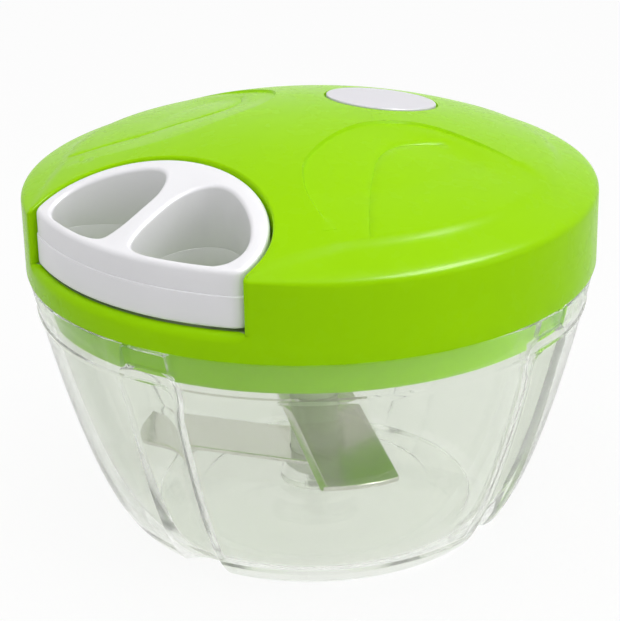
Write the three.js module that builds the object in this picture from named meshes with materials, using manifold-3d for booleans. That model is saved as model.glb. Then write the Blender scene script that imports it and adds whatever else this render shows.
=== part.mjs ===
// A pull-cord vegetable dicer: a clear bowl with three steel blades on a centre spindle, and a green
// lid that holds a sprung cord reel. Pulling the white two-finger handle unwinds the cord, which
// turns the reel and the blades.
// Millimetres. The origin is the centre of the bowl's base, +Z is up, and the handle is on the -Y side.

import * as THREE from 'three';
import { mergeVertices } from 'three/addons/utils/BufferGeometryUtils.js';
import Module from 'manifold-3d';

const wasm = await Module();
wasm.setup();

// Shared clearances
const gap = 0.3;
const overrun = 2;

// Bowl
const bowlHeight = 60.1;
const bowlFootRadius = 40;
const bowlRimRadius = 62.2;
const bowlWall = 2;
const bowlFloor = 3;
const bowlCurveShare = 0.56;
const footRingWidth = 4;
const footRecess = 1;
const fluteCount = 4;
const fluteRadius = 8;
const fluteDepth = 3.4;
const fluteBelowBase = 8.6;
const bowlTurn = THREE.MathUtils.degToRad(7);
const bossRadius = 8;
const bossHeight = 4;
const lugWidth = 10;
const lugHeight = 3.6;
const lugProtrusion = 1.2;
const lugBelowRim = 1.7;
const wallHeightShares = [0, 0.02, 0.05, 0.12, 0.23, 0.4, 0.6, 0.8];
const insideHeightShares = [0.8, 0.6, 0.42, 0.28, 0.16, 0.08, 0.03, 0];

// Spindle, shaft and blades
const pinRadius = 2;
const pinHeight = 20;
const shaftRadius = 5.5;
const shaftBelowBase = 4.1;
const collarRadius = 7;
const collarHeight = 2.5;
const keyRadius = 3.7;
const keyHeight = 6.5;
const bladeTipClearance = 1.2;
const bladeWidth = 16.8;
const bladeThickness = 1;
const bladeTipSlant = 1.4;
const lowestBladeLift = 4.7;
const bladeStepHeight = 14;
const lowestBladeAngle = THREE.MathUtils.degToRad(203);
const bladeStep = THREE.MathUtils.degToRad(120);

// Lid cover
const lidWall = 2;
const skirtHeight = 16.9;
const shoulderWidth = 9;
const shoulderHeight = 4.9;
const domeRise = 10.6;
const shoulderPowerShare = 1.4;
const leafDepth = 1;
const leafInset = 0.5;
const leafStartAngle = THREE.MathUtils.degToRad(-42.6);
const leafEndAngle = THREE.MathUtils.degToRad(18);
const leafInnerShares = [[0.896, 0.325], [0.79, 0.332], [0.68, 0.32], [0.577, 0.304], [0.436, 0.264],
  [0.347, 0.204], [0.282, 0.115], [0.245, 0.013], [0.24, -0.106], [0.258, -0.25], [0.3, -0.387],
  [0.372, -0.487], [0.468, -0.567], [0.577, -0.626], [0.68, -0.668]];
const bossTubeRadius = 3.6;

// Handle and the pocket it sits in
const handleSetBack = 1.5;
const handleHalfWidth = 29.3;
const handleSideRun = 3;
const handleBackDepth = 19;
const handleAboveRim = 6.9;
const lowerShellHeight = 6.8;
const fingerHoleShares = [[0.18, 0.095], [0.457, 0.115], [0.75, 0.21], [0.863, 0.34], [0.84, 0.51],
  [0.666, 0.69], [0.41, 0.817], [0.218, 0.8], [0.1, 0.627], [0.082, 0.407], [0.1, 0.186]];
const knotPlaceShare = 0.27;
const knotRadius = 1.9;
const pocketGap = 1.2;
const pocketWall = 1.6;
const pocketFloor = 2;

// Lid base
const baseInsertDepth = 7.5;
const basePlate = 2.2;
const baseRecess = 0.6;
const baseSkirtClearance = 0.5;
const baseSkirtWall = 2.6;
const lockTurnRoom = 8.4;
const flangeThickness = 1.6;
const sealClearance = 0.4;
const sealHeight = 1.3;
const bearingWall = 3.5;
const bearingHeight = 1.3;

// Reel, winding and rewind spring
const keyClearance = 1;
const stemWall = 2.3;
const hubStep = 3;
const reelClearance = 1.4;
const drumRadiusShare = 0.6154;
const flangeWall = 1.2;
const drumWidth = 5.8;
const cupWall = 1.6;
const cupBelowDome = 2.9;
const axleRadius = 3;
const axleFlangeRadius = 5;
const axleFlangeHeight = 1;
const axleBossRadius = 6;
const windingFillShare = 0.37;
const cordDiameter = 1.8;
const cordBend = 1.5;
const guideTubeWall = 1.2;
const guideLip = 1;
const springTurns = 5;
const springThickness = 0.6;
const springRoom = 1.7;
const springCoverWall = 1;

// Badge
const badgeHalfWidth = 12;
const badgeHalfDepth = 12.5;
const badgeBehindCentre = 22.3;
const badgeBesideCentre = 2;
const badgeThickness = 1;
const badgeProud = 0.3;

// Screws
const screwRadius = 1.4;
const screwHeadRadius = 2.9;
const screwHeadHeight = 1.8;
const lidScrewLength = 14;
const lidScrewInset = 12;
const handleScrewRadius = 1.1;
const handleScrewHeadRadius = 2.1;
const handleScrewHeadHeight = 1.3;
const handleScrewLength = 9;
const handleScrewSide = 5;
const handleScrewFromBack = 3.4;
const handleScrewFromFront = 6;
const screwEdgeShare = 0.7;
const screwSlotLengthShare = 0.8;
const screwSlotWidthShare = 0.125;

// Counts of facets
const roundSides = 40;
const smallSides = 12;
const pathSides = 8;
const keySides = 6;
const fluteSteps = 7;
const domeSteps = 8;
const shoulderSteps = 6;
const leafOuterSteps = 9;
const leafInnerSteps = 22;
const fingerHoleSteps = 30;
const springStepsPerTurn = 20;
const cordLeadSteps = 16;

// Worked-out heights and radii
const baseBottom = bowlHeight - baseInsertDepth;
const fluteTop = baseBottom - fluteBelowBase;
const shaftTop = baseBottom - shaftBelowBase;
const shaftBottom = bowlFloor + bossHeight + gap;
const lowestBladeHeight = shaftBottom + lowestBladeLift;
const lidRadius = bowlRimRadius + gap;
const skirtTop = bowlHeight + skirtHeight;
const creaseRadius = lidRadius - shoulderWidth;
const creaseHeight = skirtTop + shoulderHeight;
const domeHeight = creaseHeight + domeRise;
const handleFrontRadius = lidRadius - handleSetBack;
const handleCornerY = Math.sqrt(Math.pow(handleFrontRadius, 2) - Math.pow(handleHalfWidth, 2));
const handleBackCentre = handleCornerY - handleSideRun;
const handleBackY = -(handleBackCentre - handleBackDepth);
const handleLength = handleBackY + handleFrontRadius;
const handleBottom = bowlHeight + handleAboveRim;
const handleParting = handleBottom + lowerShellHeight;
const pocketTop = handleBottom - gap - gap;
const pocketBackY = handleBackY + pocketGap;
const cordHeight = handleParting;
const guideTubeRadius = cordDiameter / 2 + gap + guideTubeWall;
const guideBackY = pocketBackY + pocketWall + gap + guideLip;
const reelRadius = -guideBackY - reelClearance;
const drumRadius = reelRadius * drumRadiusShare;
const drumBottom = cordHeight - drumWidth / 2;
const reelBottom = drumBottom - flangeWall;
const drumTop = drumBottom + drumWidth;
const cupFloor = drumTop + flangeWall;
const springCoverTop = domeAt(reelRadius) - lidWall - cupBelowDome;
const springCoverBottom = springCoverTop - springCoverWall;
const baseTop = baseBottom + baseRecess + basePlate;
const baseSkirtRadius = bowlInsideAt(baseBottom) - baseSkirtClearance;
const bearingTop = baseTop + bearingHeight;
const lidScrewCircleRadius = baseSkirtRadius - lidScrewInset;
const flangeBottom = bowlHeight + gap + gap;
const keyTop = shaftTop + keyHeight;
const socketRadius = keyRadius + keyClearance;
const stemRadius = socketRadius + stemWall;
const hubRadius = stemRadius + hubStep;
const coverBottom = bowlHeight + gap;

// The height of the lid's outer dome at a distance from the centre
function domeAt(radius) {
  return domeHeight - domeRise * Math.pow(radius / creaseRadius, 2);
}

// The bowl's outer radius at a height
function bowlRadiusAt(height) {
  const share = Math.max(height, 0) / bowlHeight;
  return bowlFootRadius + (bowlRimRadius - bowlFootRadius) * Math.pow(share, bowlCurveShare);
}

// The bowl's inner radius at a height above its floor
function bowlInsideAt(height) {
  const share = Math.max(height - bowlFloor, 0) / (bowlHeight - bowlFloor);
  return bowlRadiusAt(0) - bowlWall + (bowlRimRadius - bowlFootRadius) * Math.pow(share, bowlCurveShare);
}

// Helpers that turn a three.js geometry into a solid and back
function solidOf(geometry) {
  const bare = geometry.clone();
  bare.deleteAttribute('normal');
  bare.deleteAttribute('uv');
  const welded = mergeVertices(bare, 1e-4);
  const corners = welded.index.array;
  const kept = [];
  for (let i = 0; i < corners.length; i += 3) {
    const [a, b, c] = [corners[i], corners[i + 1], corners[i + 2]];
    if (a !== b && b !== c && c !== a) kept.push(a, b, c);
  }
  const vertProperties = new Float32Array(welded.attributes.position.array);
  const triVerts = new Uint32Array(kept);
  return new wasm.Manifold(new wasm.Mesh({ numProp: 3, vertProperties, triVerts }));
}

function geometryOf(solid) {
  const mesh = solid.getMesh();
  const geometry = new THREE.BufferGeometry();
  geometry.setAttribute('position', new THREE.BufferAttribute(new Float32Array(mesh.vertProperties), 3));
  geometry.setIndex(new THREE.BufferAttribute(new Uint32Array(mesh.triVerts), 1));
  geometry.computeVertexNormals();
  return geometry;
}

// A solid of revolution about Z from [radius, height] points that run up the outside and down the inside
function revolved(points, sides = roundSides) {
  const profile = points.map(([radius, height]) => new THREE.Vector2(radius, height));
  const geometry = new THREE.LatheGeometry([...profile, profile[0]], sides);
  geometry.rotateX(Math.PI / 2);
  return solidOf(geometry);
}

function rod(radius, bottom, top, sides = smallSides) {
  const geometry = new THREE.CylinderGeometry(radius, radius, top - bottom, sides);
  geometry.rotateX(Math.PI / 2);
  geometry.translate(0, 0, (top + bottom) / 2);
  return solidOf(geometry);
}

function box(width, depth, bottom, top) {
  const geometry = new THREE.BoxGeometry(width, depth, top - bottom);
  geometry.translate(0, 0, (top + bottom) / 2);
  return solidOf(geometry);
}

function raised(shape, bottom, top, curveSegments = smallSides) {
  const depth = top - bottom;
  const geometry = new THREE.ExtrudeGeometry(shape, { depth, bevelEnabled: false, curveSegments });
  geometry.translate(0, 0, bottom);
  return solidOf(geometry);
}

function tube(curve, section, steps) {
  return solidOf(new THREE.ExtrudeGeometry(section, { steps, bevelEnabled: false, extrudePath: curve }));
}

function circleShape(radius, sides) {
  const points = [];
  for (let i = 0; i < sides; i += 1) {
    const angle = 2 * Math.PI * i / sides;
    points.push(new THREE.Vector2(radius * Math.cos(angle), radius * Math.sin(angle)));
  }
  return new THREE.Shape(points);
}

function turned(solid, angle) {
  return solid.rotate([0, 0, THREE.MathUtils.radToDeg(angle)]);
}

// A list of evenly spaced numbers, both ends included
function spread(first, last, count) {
  return Array.from({ length: count }, (_, i) => first + (last - first) * i / (count - 1));
}

// Materials
const paints = {
  green: new THREE.MeshStandardMaterial({ color: '#8fd414', roughness: 0.28, metalness: 0 }),
  white: new THREE.MeshStandardMaterial({ color: '#dedde0', roughness: 0.4, metalness: 0 }),
  clear: new THREE.MeshStandardMaterial({
    color: '#e2e6dd',
    roughness: 0.08,
    metalness: 0,
    transparent: true,
    opacity: 0.4,
  }),
  steel: new THREE.MeshStandardMaterial({ color: '#b4b6ad', roughness: 0.3, metalness: 1 }),
  grey: new THREE.MeshStandardMaterial({ color: '#c9cac6', roughness: 0.5, metalness: 0 }),
  cord: new THREE.MeshStandardMaterial({ color: '#e9e8e2', roughness: 0.9, metalness: 0 }),
  rubber: new THREE.MeshStandardMaterial({ color: '#d8dcd2', roughness: 0.7, metalness: 0 }),
};

const group = new THREE.Group();
group.name = 'vegetable_dicer';

function add(name, solid, paint) {
  const mesh = new THREE.Mesh(geometryOf(solid), paint);
  mesh.name = name;
  group.add(mesh);
}

// Bowl: a clear cup with four inward flutes, a boss for the spindle and four lock lugs in its collar
function fluteCutter(radius, wallRadiusAt, bottom) {
  const heights = spread(fluteTop, bottom, fluteSteps);
  const axis = heights.map((height) => {
    const out = wallRadiusAt(height) + fluteRadius - fluteDepth;
    return new THREE.Vector3(out, 0, height);
  });
  const run = tube(new THREE.CatmullRomCurve3(axis), circleShape(radius, smallSides), heights.length - 1);
  const end = new THREE.SphereGeometry(radius, smallSides, smallSides / 2);
  end.rotateX(Math.PI / 2);
  end.translate(axis[0].x, 0, axis[0].z);
  return run.add(solidOf(end));
}

function bowlSolid() {
  const wallHeights = wallHeightShares.map((share) => share * bowlHeight);
  const outside = wallHeights.map((height) => [bowlRadiusAt(height), height]);
  const inside = insideHeightShares.map((share) => bowlFloor + share * (bowlHeight - bowlFloor));
  const footRingInnerRadius = bowlFootRadius - footRingWidth;
  const outer = revolved([
    [0, footRecess],
    [footRingInnerRadius, footRecess],
    [footRingInnerRadius, 0],
    ...outside,
    [bowlRimRadius, bowlHeight],
    [0, bowlHeight],
  ]);
  const inner = revolved([
    [0, bowlFloor],
    ...inside.map((height) => [bowlInsideAt(height), height]).reverse(),
    [bowlInsideAt(bowlHeight), bowlHeight],
    [bowlInsideAt(bowlHeight), bowlHeight + overrun],
    [0, bowlHeight + overrun],
  ]);
  let body = outer;
  let hollow = inner;
  for (let i = 0; i < fluteCount; i += 1) {
    const angle = bowlTurn + 2 * Math.PI * i / fluteCount;
    body = body.subtract(turned(fluteCutter(fluteRadius, bowlRadiusAt, -overrun), angle));
    hollow = hollow.subtract(turned(fluteCutter(fluteRadius + bowlWall, bowlRadiusAt, -overrun), angle));
  }
  body = body.subtract(hollow);
  const lugTop = bowlHeight - lugBelowRim;
  const lugInner = bowlInsideAt(lugTop - lugHeight) - lugProtrusion;
  const lugOuter = bowlRimRadius - bowlWall;
  const lugBlock = box(lugOuter - lugInner, lugWidth, lugTop - lugHeight, lugTop);
  const lug = lugBlock.translate([(lugOuter + lugInner) / 2, 0, 0]);
  for (let i = 0; i < fluteCount; i += 1) {
    body = body.add(turned(lug, bowlTurn + 2 * Math.PI * i / fluteCount));
  }
  const bossTop = bowlFloor + bossHeight;
  const boss = revolved([
    [0, footRecess + bowlFloor / 2],
    [bossRadius + bossHeight / 2, footRecess + bowlFloor / 2],
    [bossRadius + bossHeight / 2, bowlFloor],
    [bossRadius, bowlFloor + bossHeight / 2],
    [bossRadius, bossTop],
    [0, bossTop],
  ], roundSides / 2);
  const bore = rod(pinRadius + gap, footRecess + bowlFloor / 2, bossTop + overrun);
  return body.add(boss).subtract(bore);
}

add('bowl', bowlSolid(), paints.clear);

// Steel spindle standing in the bowl's boss
const pinBottom = footRecess + bowlFloor / 2 + gap;
const pinTop = pinBottom + pinHeight;
add('spindle_pin', revolved([
  [0, pinBottom],
  [pinRadius, pinBottom],
  [pinRadius, pinTop - pinRadius / 2],
  [pinRadius / 2, pinTop],
  [0, pinTop],
], smallSides), paints.steel);

// Blade shaft: a hollow plastic post with a collar under each blade and a hexagonal key on top
const bladeHeights = [0, 1, 2].map((i) => lowestBladeHeight + i * bladeStepHeight);

function shaftSolid() {
  const outline = [[0, shaftBottom], [shaftRadius, shaftBottom]];
  for (const height of bladeHeights) {
    const top = height - bladeThickness / 2 - gap;
    outline.push([shaftRadius, top - collarHeight], [collarRadius, top - collarHeight]);
    outline.push([collarRadius, top], [shaftRadius, top]);
  }
  outline.push([shaftRadius, shaftTop], [0, shaftTop]);
  const post = revolved(outline, roundSides / 2);
  const key = rod(keyRadius, shaftTop - overrun, keyTop, keySides);
  const bore = rod(pinRadius + gap, shaftBottom - overrun, pinTop + gap);
  return post.add(key).subtract(bore);
}

add('blade_shaft', shaftSolid(), paints.white);

// One flat blade: a strip with a slightly slanted tip and a round root that the shaft passes through.
// Each blade reaches as far as the tapered bowl allows at its height.
function bladeSolid(height) {
  const half = bladeWidth / 2;
  const bladeReach = bowlRadiusAt(height) - fluteDepth - bowlWall - bladeTipClearance;
  const strip = new THREE.Shape();
  strip.moveTo(0, -half);
  strip.lineTo(bladeReach - bladeTipSlant / 2, -half);
  strip.lineTo(bladeReach, 0);
  strip.lineTo(bladeReach - bladeTipSlant, half);
  strip.lineTo(0, half);
  strip.absarc(0, 0, half, Math.PI / 2, 3 * Math.PI / 2, false);
  const bottom = height - bladeThickness / 2;
  const top = bottom + bladeThickness;
  const plate = raised(strip, bottom, top, smallSides / 2);
  return plate.subtract(rod(shaftRadius + gap, bottom - overrun, top + overrun, roundSides / 2));
}

['lower_blade', 'middle_blade', 'upper_blade'].forEach((name, i) => {
  add(name, turned(bladeSolid(bladeHeights[i]), lowestBladeAngle + i * bladeStep), paints.steel);
});

// The handle's plan, grown by a margin: an arc of the lid's front and half an ellipse behind it
function handlePlan(margin, frontRadius) {
  const halfWidth = handleHalfWidth + margin;
  const corner = Math.asin(halfWidth / frontRadius);
  const plan = new THREE.Shape();
  plan.absarc(0, 0, frontRadius, -Math.PI / 2 - corner, -Math.PI / 2 + corner, false);
  plan.lineTo(halfWidth, -handleBackCentre);
  plan.absellipse(0, -handleBackCentre, halfWidth, handleBackDepth + margin, 0, Math.PI, false, 0);
  return plan;
}

// The lid's outer form, drawn in by an offset: a skirt, a rounded shoulder and a shallow dome
function lidForm(offset, bottom) {
  const domeShares = spread(1, 0, domeSteps).slice(0, -1);
  const shoulderAngles = spread(0, Math.PI / 2, shoulderSteps).slice(0, -1);
  const run = creaseRadius - offset / 2;
  const bend = skirtTop - offset / 2;
  const shoulder = shoulderAngles.map((angle) => [
    run + (lidRadius - offset - run) * Math.pow(Math.cos(angle), shoulderPowerShare),
    bend + (creaseHeight - offset / 2 - skirtTop) * Math.pow(Math.sin(angle), shoulderPowerShare),
  ]);
  const dome = domeShares.map((share) => [share * run, domeAt(share * creaseRadius) - offset]);
  return revolved([
    [0, bottom],
    [lidRadius - offset, bottom],
    ...shoulder,
    ...dome,
    [0, domeHeight - offset],
  ]);
}

// One sunken leaf of the lid's top: its outer edge follows the crease and its inner edge is a curve
function leafPlan() {
  const edge = creaseRadius - leafInset;
  const angles = spread(leafStartAngle, leafEndAngle, leafOuterSteps);
  const outer = angles.map((angle) => new THREE.Vector2(edge * Math.cos(angle), edge * Math.sin(angle)));
  const inner = leafInnerShares.map(([x, y]) => new THREE.Vector2(x * edge, y * edge));
  const innerCurve = new THREE.SplineCurve([outer[outer.length - 1], ...inner, outer[0]]);
  return new THREE.Shape([...outer, ...innerCurve.getPoints(leafInnerSteps).slice(1, -1)]);
}

// Lid cover: one moulding with the skirt, the dome, the handle's pocket and the screw bosses
const lidSolid = lidForm(0, coverBottom);
const bossPlaces = [45, 135, 225, 315].map((degrees) => THREE.MathUtils.degToRad(degrees));

function placedOnCircle(solid, radius, angle) {
  return solid.translate([radius * Math.cos(angle), radius * Math.sin(angle), 0]);
}

function coverSolid() {
  const hollow = lidForm(lidWall, coverBottom - overrun);
  const pocketPlan = handlePlan(pocketGap, lidRadius + overrun);
  const pocketOuter = handlePlan(pocketGap + pocketWall, lidRadius - lidWall / 2);
  const pocketShell = raised(pocketOuter, pocketTop - pocketFloor, domeHeight).intersect(lidSolid);
  let cover = lidSolid.subtract(hollow).add(pocketShell);
  for (const angle of bossPlaces) {
    const boss = rod(bossTubeRadius, baseTop + gap, domeAt(lidScrewCircleRadius) - lidWall / 2);
    cover = cover.add(placedOnCircle(boss, lidScrewCircleRadius, angle));
  }
  const axleBoss = rod(axleBossRadius, axleBossBottom, domeHeight - lidWall / 2, roundSides / 2);
  const axleBore = rod(axleRadius + gap, axleBossBottom - overrun, axleTop + gap);
  cover = cover.add(axleBoss).subtract(axleBore);
  for (const angle of bossPlaces) {
    const bore = rod(screwRadius + gap, baseTop - overrun, screwTop + gap);
    cover = cover.subtract(placedOnCircle(bore, lidScrewCircleRadius, angle));
  }
  cover = cover.subtract(raised(pocketPlan, pocketTop, domeHeight + overrun));
  const leafFloor = lidForm(0, 0).translate([0, 0, -leafDepth]);
  const leaf = raised(leafPlan(), pocketTop, domeHeight + overrun).subtract(leafFloor);
  cover = cover.subtract(leaf).subtract(leaf.mirror([1, 0, 0]));
  const badgeSeat = badgeForm(gap, badgeThickness - badgeProud + gap);
  const guideBoreEnd = pocketBackY + pocketWall + overrun;
  const guideBore = alongY(guideTubeRadius + gap, pocketBackY - overrun, guideBoreEnd);
  return cover.subtract(badgeSeat).subtract(guideBore);
}

// Axle and its boss under the dome
const axleTop = domeHeight - lidWall - gap;
const axleBossBottom = springCoverTop + gap + axleFlangeHeight + gap;
const axleBottom = reelBottom - flangeWall;

// Lid screws reach up into the cover's bosses from the base's underside
const screwBottom = baseBottom + baseRecess + gap;
const screwTop = screwBottom + lidScrewLength;

function alongY(radius, from, to, sides = smallSides) {
  const geometry = new THREE.CylinderGeometry(radius, radius, to - from, sides);
  geometry.translate(0, (from + to) / 2, 0);
  return solidOf(geometry).translate([0, 0, cordHeight]);
}

// The bare oval badge and, grown by a margin, its seat in the dome
function badgeForm(margin, depth) {
  const oval = new THREE.Shape();
  const halfWidth = badgeHalfWidth + margin;
  const halfDepth = badgeHalfDepth + margin;
  oval.absellipse(badgeBesideCentre, badgeBehindCentre, halfWidth, halfDepth, 0, 2 * Math.PI);
  const column = raised(oval, pocketTop, domeHeight + overrun, roundSides / 2);
  return column.subtract(lidForm(0, 0).translate([0, 0, -depth]));
}

add('lid_cover', coverSolid(), paints.green);

const badgeCap = lidForm(0, 0).translate([0, 0, badgeProud]);
add('name_badge', badgeForm(0, badgeThickness - badgeProud).intersect(badgeCap), paints.white);

// Lid base: the plate that closes the bowl, with a skirt inside the collar and the reel's bearing
function baseSolid() {
  const inner = baseSkirtRadius - baseSkirtWall;
  const plateBottom = baseBottom + baseRecess;
  const flangeRadius = lidRadius - lidWall - gap;
  const bearingInner = stemRadius + gap;
  const bearingOuter = bearingInner + bearingWall;
  let base = revolved([
    [bearingInner, plateBottom],
    [inner, plateBottom],
    [inner, baseBottom],
    [baseSkirtRadius, baseBottom],
    [baseSkirtRadius, flangeBottom],
    [flangeRadius, flangeBottom],
    [flangeRadius, flangeBottom + flangeThickness],
    [inner, flangeBottom + flangeThickness],
    [inner, baseTop],
    [bearingOuter, baseTop],
    [bearingOuter, bearingTop],
    [bearingInner, bearingTop],
  ]);
  const slotDepth = lugProtrusion + gap;
  const slotTop = bowlHeight - lugBelowRim + gap;
  const slotBlock = box(slotDepth + overrun, lugWidth + lockTurnRoom, baseBottom - overrun, slotTop);
  const slot = slotBlock.translate([baseSkirtRadius - slotDepth + (slotDepth + overrun) / 2, 0, 0]);
  for (let i = 0; i < fluteCount; i += 1) {
    base = base.subtract(turned(slot, bowlTurn + 2 * Math.PI * i / fluteCount));
  }
  for (const angle of bossPlaces) {
    const bore = rod(screwRadius + gap, baseBottom - overrun, baseTop + overrun);
    const sink = rod(screwHeadRadius + gap, baseBottom - overrun, screwBottom + screwHeadHeight / 2);
    base = base.subtract(placedOnCircle(bore.add(sink), lidScrewCircleRadius, angle));
  }
  return base;
}

add('lid_base', baseSolid(), paints.green);

// Silicone seal between the lid's skirt and the bowl's collar
const sealTop = flangeBottom - gap;
const sealBottom = sealTop - sealHeight;
const sealInner = baseSkirtRadius + gap;
const sealOuter = bowlInsideAt(sealBottom) - sealClearance;
add('seal_ring', revolved([
  [sealInner, sealBottom],
  [sealOuter, sealBottom],
  [sealOuter, sealTop],
  [sealInner, sealTop],
]), paints.rubber);

// A pan-headed screw standing head down, with its threads left plain and a slot across the head
function screwSolid(bottom, radius, headRadius, headHeight, length) {
  const slotWidth = 2 * headRadius * screwSlotWidthShare;
  const slotLength = 2 * headRadius * screwSlotLengthShare;
  const body = revolved([
    [0, bottom],
    [headRadius * screwEdgeShare, bottom],
    [headRadius, bottom + headHeight / 2],
    [headRadius, bottom + headHeight],
    [radius, bottom + headHeight],
    [radius, bottom + length - radius],
    [0, bottom + length],
  ], smallSides);
  const slot = box(slotLength, slotWidth, bottom - overrun, bottom + headHeight / 2);
  return body.subtract(slot);
}

bossPlaces.forEach((angle, i) => {
  const screw = screwSolid(
    screwBottom - screwHeadHeight / 2,
    screwRadius,
    screwHeadRadius,
    screwHeadHeight,
    lidScrewLength,
  );
  add(`lid_screw_${i + 1}`, placedOnCircle(screw, lidScrewCircleRadius, angle), paints.steel);
});

// Reel axle: a steel pin hanging in the cover's boss, with a flange that keeps the reel down
const axleFlangeBottom = axleBossBottom - gap - axleFlangeHeight;
add('reel_axle', revolved([
  [0, axleBottom],
  [axleRadius, axleBottom],
  [axleRadius, axleFlangeBottom],
  [axleFlangeRadius, axleFlangeBottom],
  [axleFlangeRadius, axleFlangeBottom + axleFlangeHeight],
  [axleRadius, axleFlangeBottom + axleFlangeHeight],
  [axleRadius, axleTop],
  [0, axleTop],
], smallSides), paints.steel);

// Cord reel: the drum, its two flanges, the spring cup above it and the drive socket below it
function reelSolid() {
  const stemBottom = shaftTop + gap;
  const shoulder = bearingTop + gap;
  const body = revolved([
    [0, stemBottom],
    [stemRadius, stemBottom],
    [stemRadius, shoulder],
    [hubRadius, shoulder],
    [hubRadius, reelBottom],
    [reelRadius, reelBottom],
    [reelRadius, drumBottom],
    [drumRadius, drumBottom],
    [drumRadius, drumTop],
    [reelRadius, drumTop],
    [reelRadius, springCoverTop],
    [reelRadius - cupWall, springCoverTop],
    [reelRadius - cupWall, cupFloor],
    [0, cupFloor],
  ]);
  const bore = rod(axleRadius + gap, axleBottom - gap, cupFloor + overrun);
  const socket = rod(socketRadius, stemBottom - overrun, keyTop + gap, keySides);
  return body.subtract(bore).subtract(socket);
}

add('cord_reel', reelSolid(), paints.grey);

// The cord wound on the drum
const windingInner = drumRadius + gap;
const windingOuter = windingInner + (reelRadius - drumRadius) * windingFillShare;
add('cord_winding', revolved([
  [windingInner, drumBottom + gap],
  [windingOuter, drumBottom + gap],
  [windingOuter, drumTop - gap],
  [windingInner, drumTop - gap],
]), paints.cord);

// Flat rewind spring in the reel's cup: a steel strip wound in a spiral
class Spiral extends THREE.Curve {
  constructor(firstRadius, lastRadius, turns) {
    super();
    this.firstRadius = firstRadius;
    this.lastRadius = lastRadius;
    this.turns = turns;
  }

  getPoint(t, target = new THREE.Vector3()) {
    const radius = this.firstRadius + (this.lastRadius - this.firstRadius) * t;
    const angle = 2 * Math.PI * this.turns * t;
    return target.set(radius * Math.cos(angle), radius * Math.sin(angle), 0);
  }
}

function stripShape(width, height) {
  return new THREE.Shape([
    new THREE.Vector2(-width / 2, -height / 2),
    new THREE.Vector2(width / 2, -height / 2),
    new THREE.Vector2(width / 2, height / 2),
    new THREE.Vector2(-width / 2, height / 2),
  ]);
}

function springSolid() {
  const first = axleRadius + gap + springThickness;
  const last = reelRadius - cupWall - gap - springThickness;
  const bottom = cupFloor + gap;
  const width = springCoverBottom - springRoom - bottom;
  const spiral = new Spiral(first, last, springTurns);
  const strip = new THREE.ExtrudeGeometry(stripShape(width, springThickness), {
    steps: springTurns * springStepsPerTurn,
    bevelEnabled: false,
    extrudePath: spiral,
  });
  strip.translate(0, 0, bottom + width / 2);
  return solidOf(strip);
}

add('rewind_spring', springSolid(), paints.steel);

// Disc that keeps the spring in the cup
const springCoverRadius = reelRadius - cupWall - gap;
add('spring_cover', revolved([
  [axleRadius + gap, springCoverBottom],
  [springCoverRadius, springCoverBottom],
  [springCoverRadius, springCoverTop],
  [axleRadius + gap, springCoverTop],
], roundSides / 2), paints.grey);

// Cord guide: a flanged eyelet in the pocket's back wall
function guideSolid() {
  const tubeBody = alongY(guideTubeRadius, pocketBackY, guideBackY);
  const flange = alongY(guideTubeRadius + guideLip, guideBackY - guideLip, guideBackY);
  const bore = alongY(cordDiameter / 2 + gap, pocketBackY - overrun, guideBackY + overrun);
  return tubeBody.add(flange).subtract(bore);
}

add('cord_guide', guideSolid(), paints.grey);

// Cord from the winding to the guide, leaving the drum on a tangent
const cordSection = circleShape(cordDiameter / 2, pathSides);

function cordLeadSolid() {
  const leaveRadius = windingOuter + gap + cordDiameter / 2;
  const bendY = guideBackY + cordBend + gap;
  const leaveAngle = Math.acos(leaveRadius / -bendY);
  const leaveX = leaveRadius * Math.sin(leaveAngle);
  const leaveY = -leaveRadius * Math.cos(leaveAngle);
  const leave = new THREE.Vector3(leaveX, leaveY, cordHeight);
  const bend = new THREE.Vector3(0, bendY, cordHeight);
  const bendStart = bend.clone().addScaledVector(leave.clone().sub(bend).normalize(), cordBend);
  const bendEnd = new THREE.Vector3(0, bendY - cordBend, cordHeight);
  const inGuide = new THREE.Vector3(0, pocketBackY + gap, cordHeight);
  const route = new THREE.CurvePath();
  route.add(new THREE.LineCurve3(leave, bendStart));
  route.add(new THREE.QuadraticBezierCurve3(bendStart, bend, bendEnd));
  route.add(new THREE.LineCurve3(bendEnd, inGuide));
  return tube(route, cordSection, cordLeadSteps);
}

add('cord_lead', cordLeadSolid(), paints.cord);

// Handle: two white shells split at the parting height, with two finger holes and a knot pocket between
const knotY = handleBackY - handleLength * knotPlaceShare;

function fingerHole(side) {
  const points = fingerHoleShares.map(([across, along]) => new THREE.Vector3(
    side * across * handleHalfWidth,
    -handleFrontRadius + along * handleLength,
    0,
  ));
  const loop = new THREE.CatmullRomCurve3(points, true).getPoints(fingerHoleSteps);
  const outline = new THREE.Shape(loop.slice(0, -1).map((point) => new THREE.Vector2(point.x, point.y)));
  return raised(outline, handleBottom - overrun, domeHeight + overrun);
}

const handleScrewPlaces = [
  ['left', -handleScrewSide, handleBackY - handleScrewFromBack],
  ['right', handleScrewSide, handleBackY - handleScrewFromBack],
  ['front', 0, -handleFrontRadius + handleScrewFromFront],
];

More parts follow.
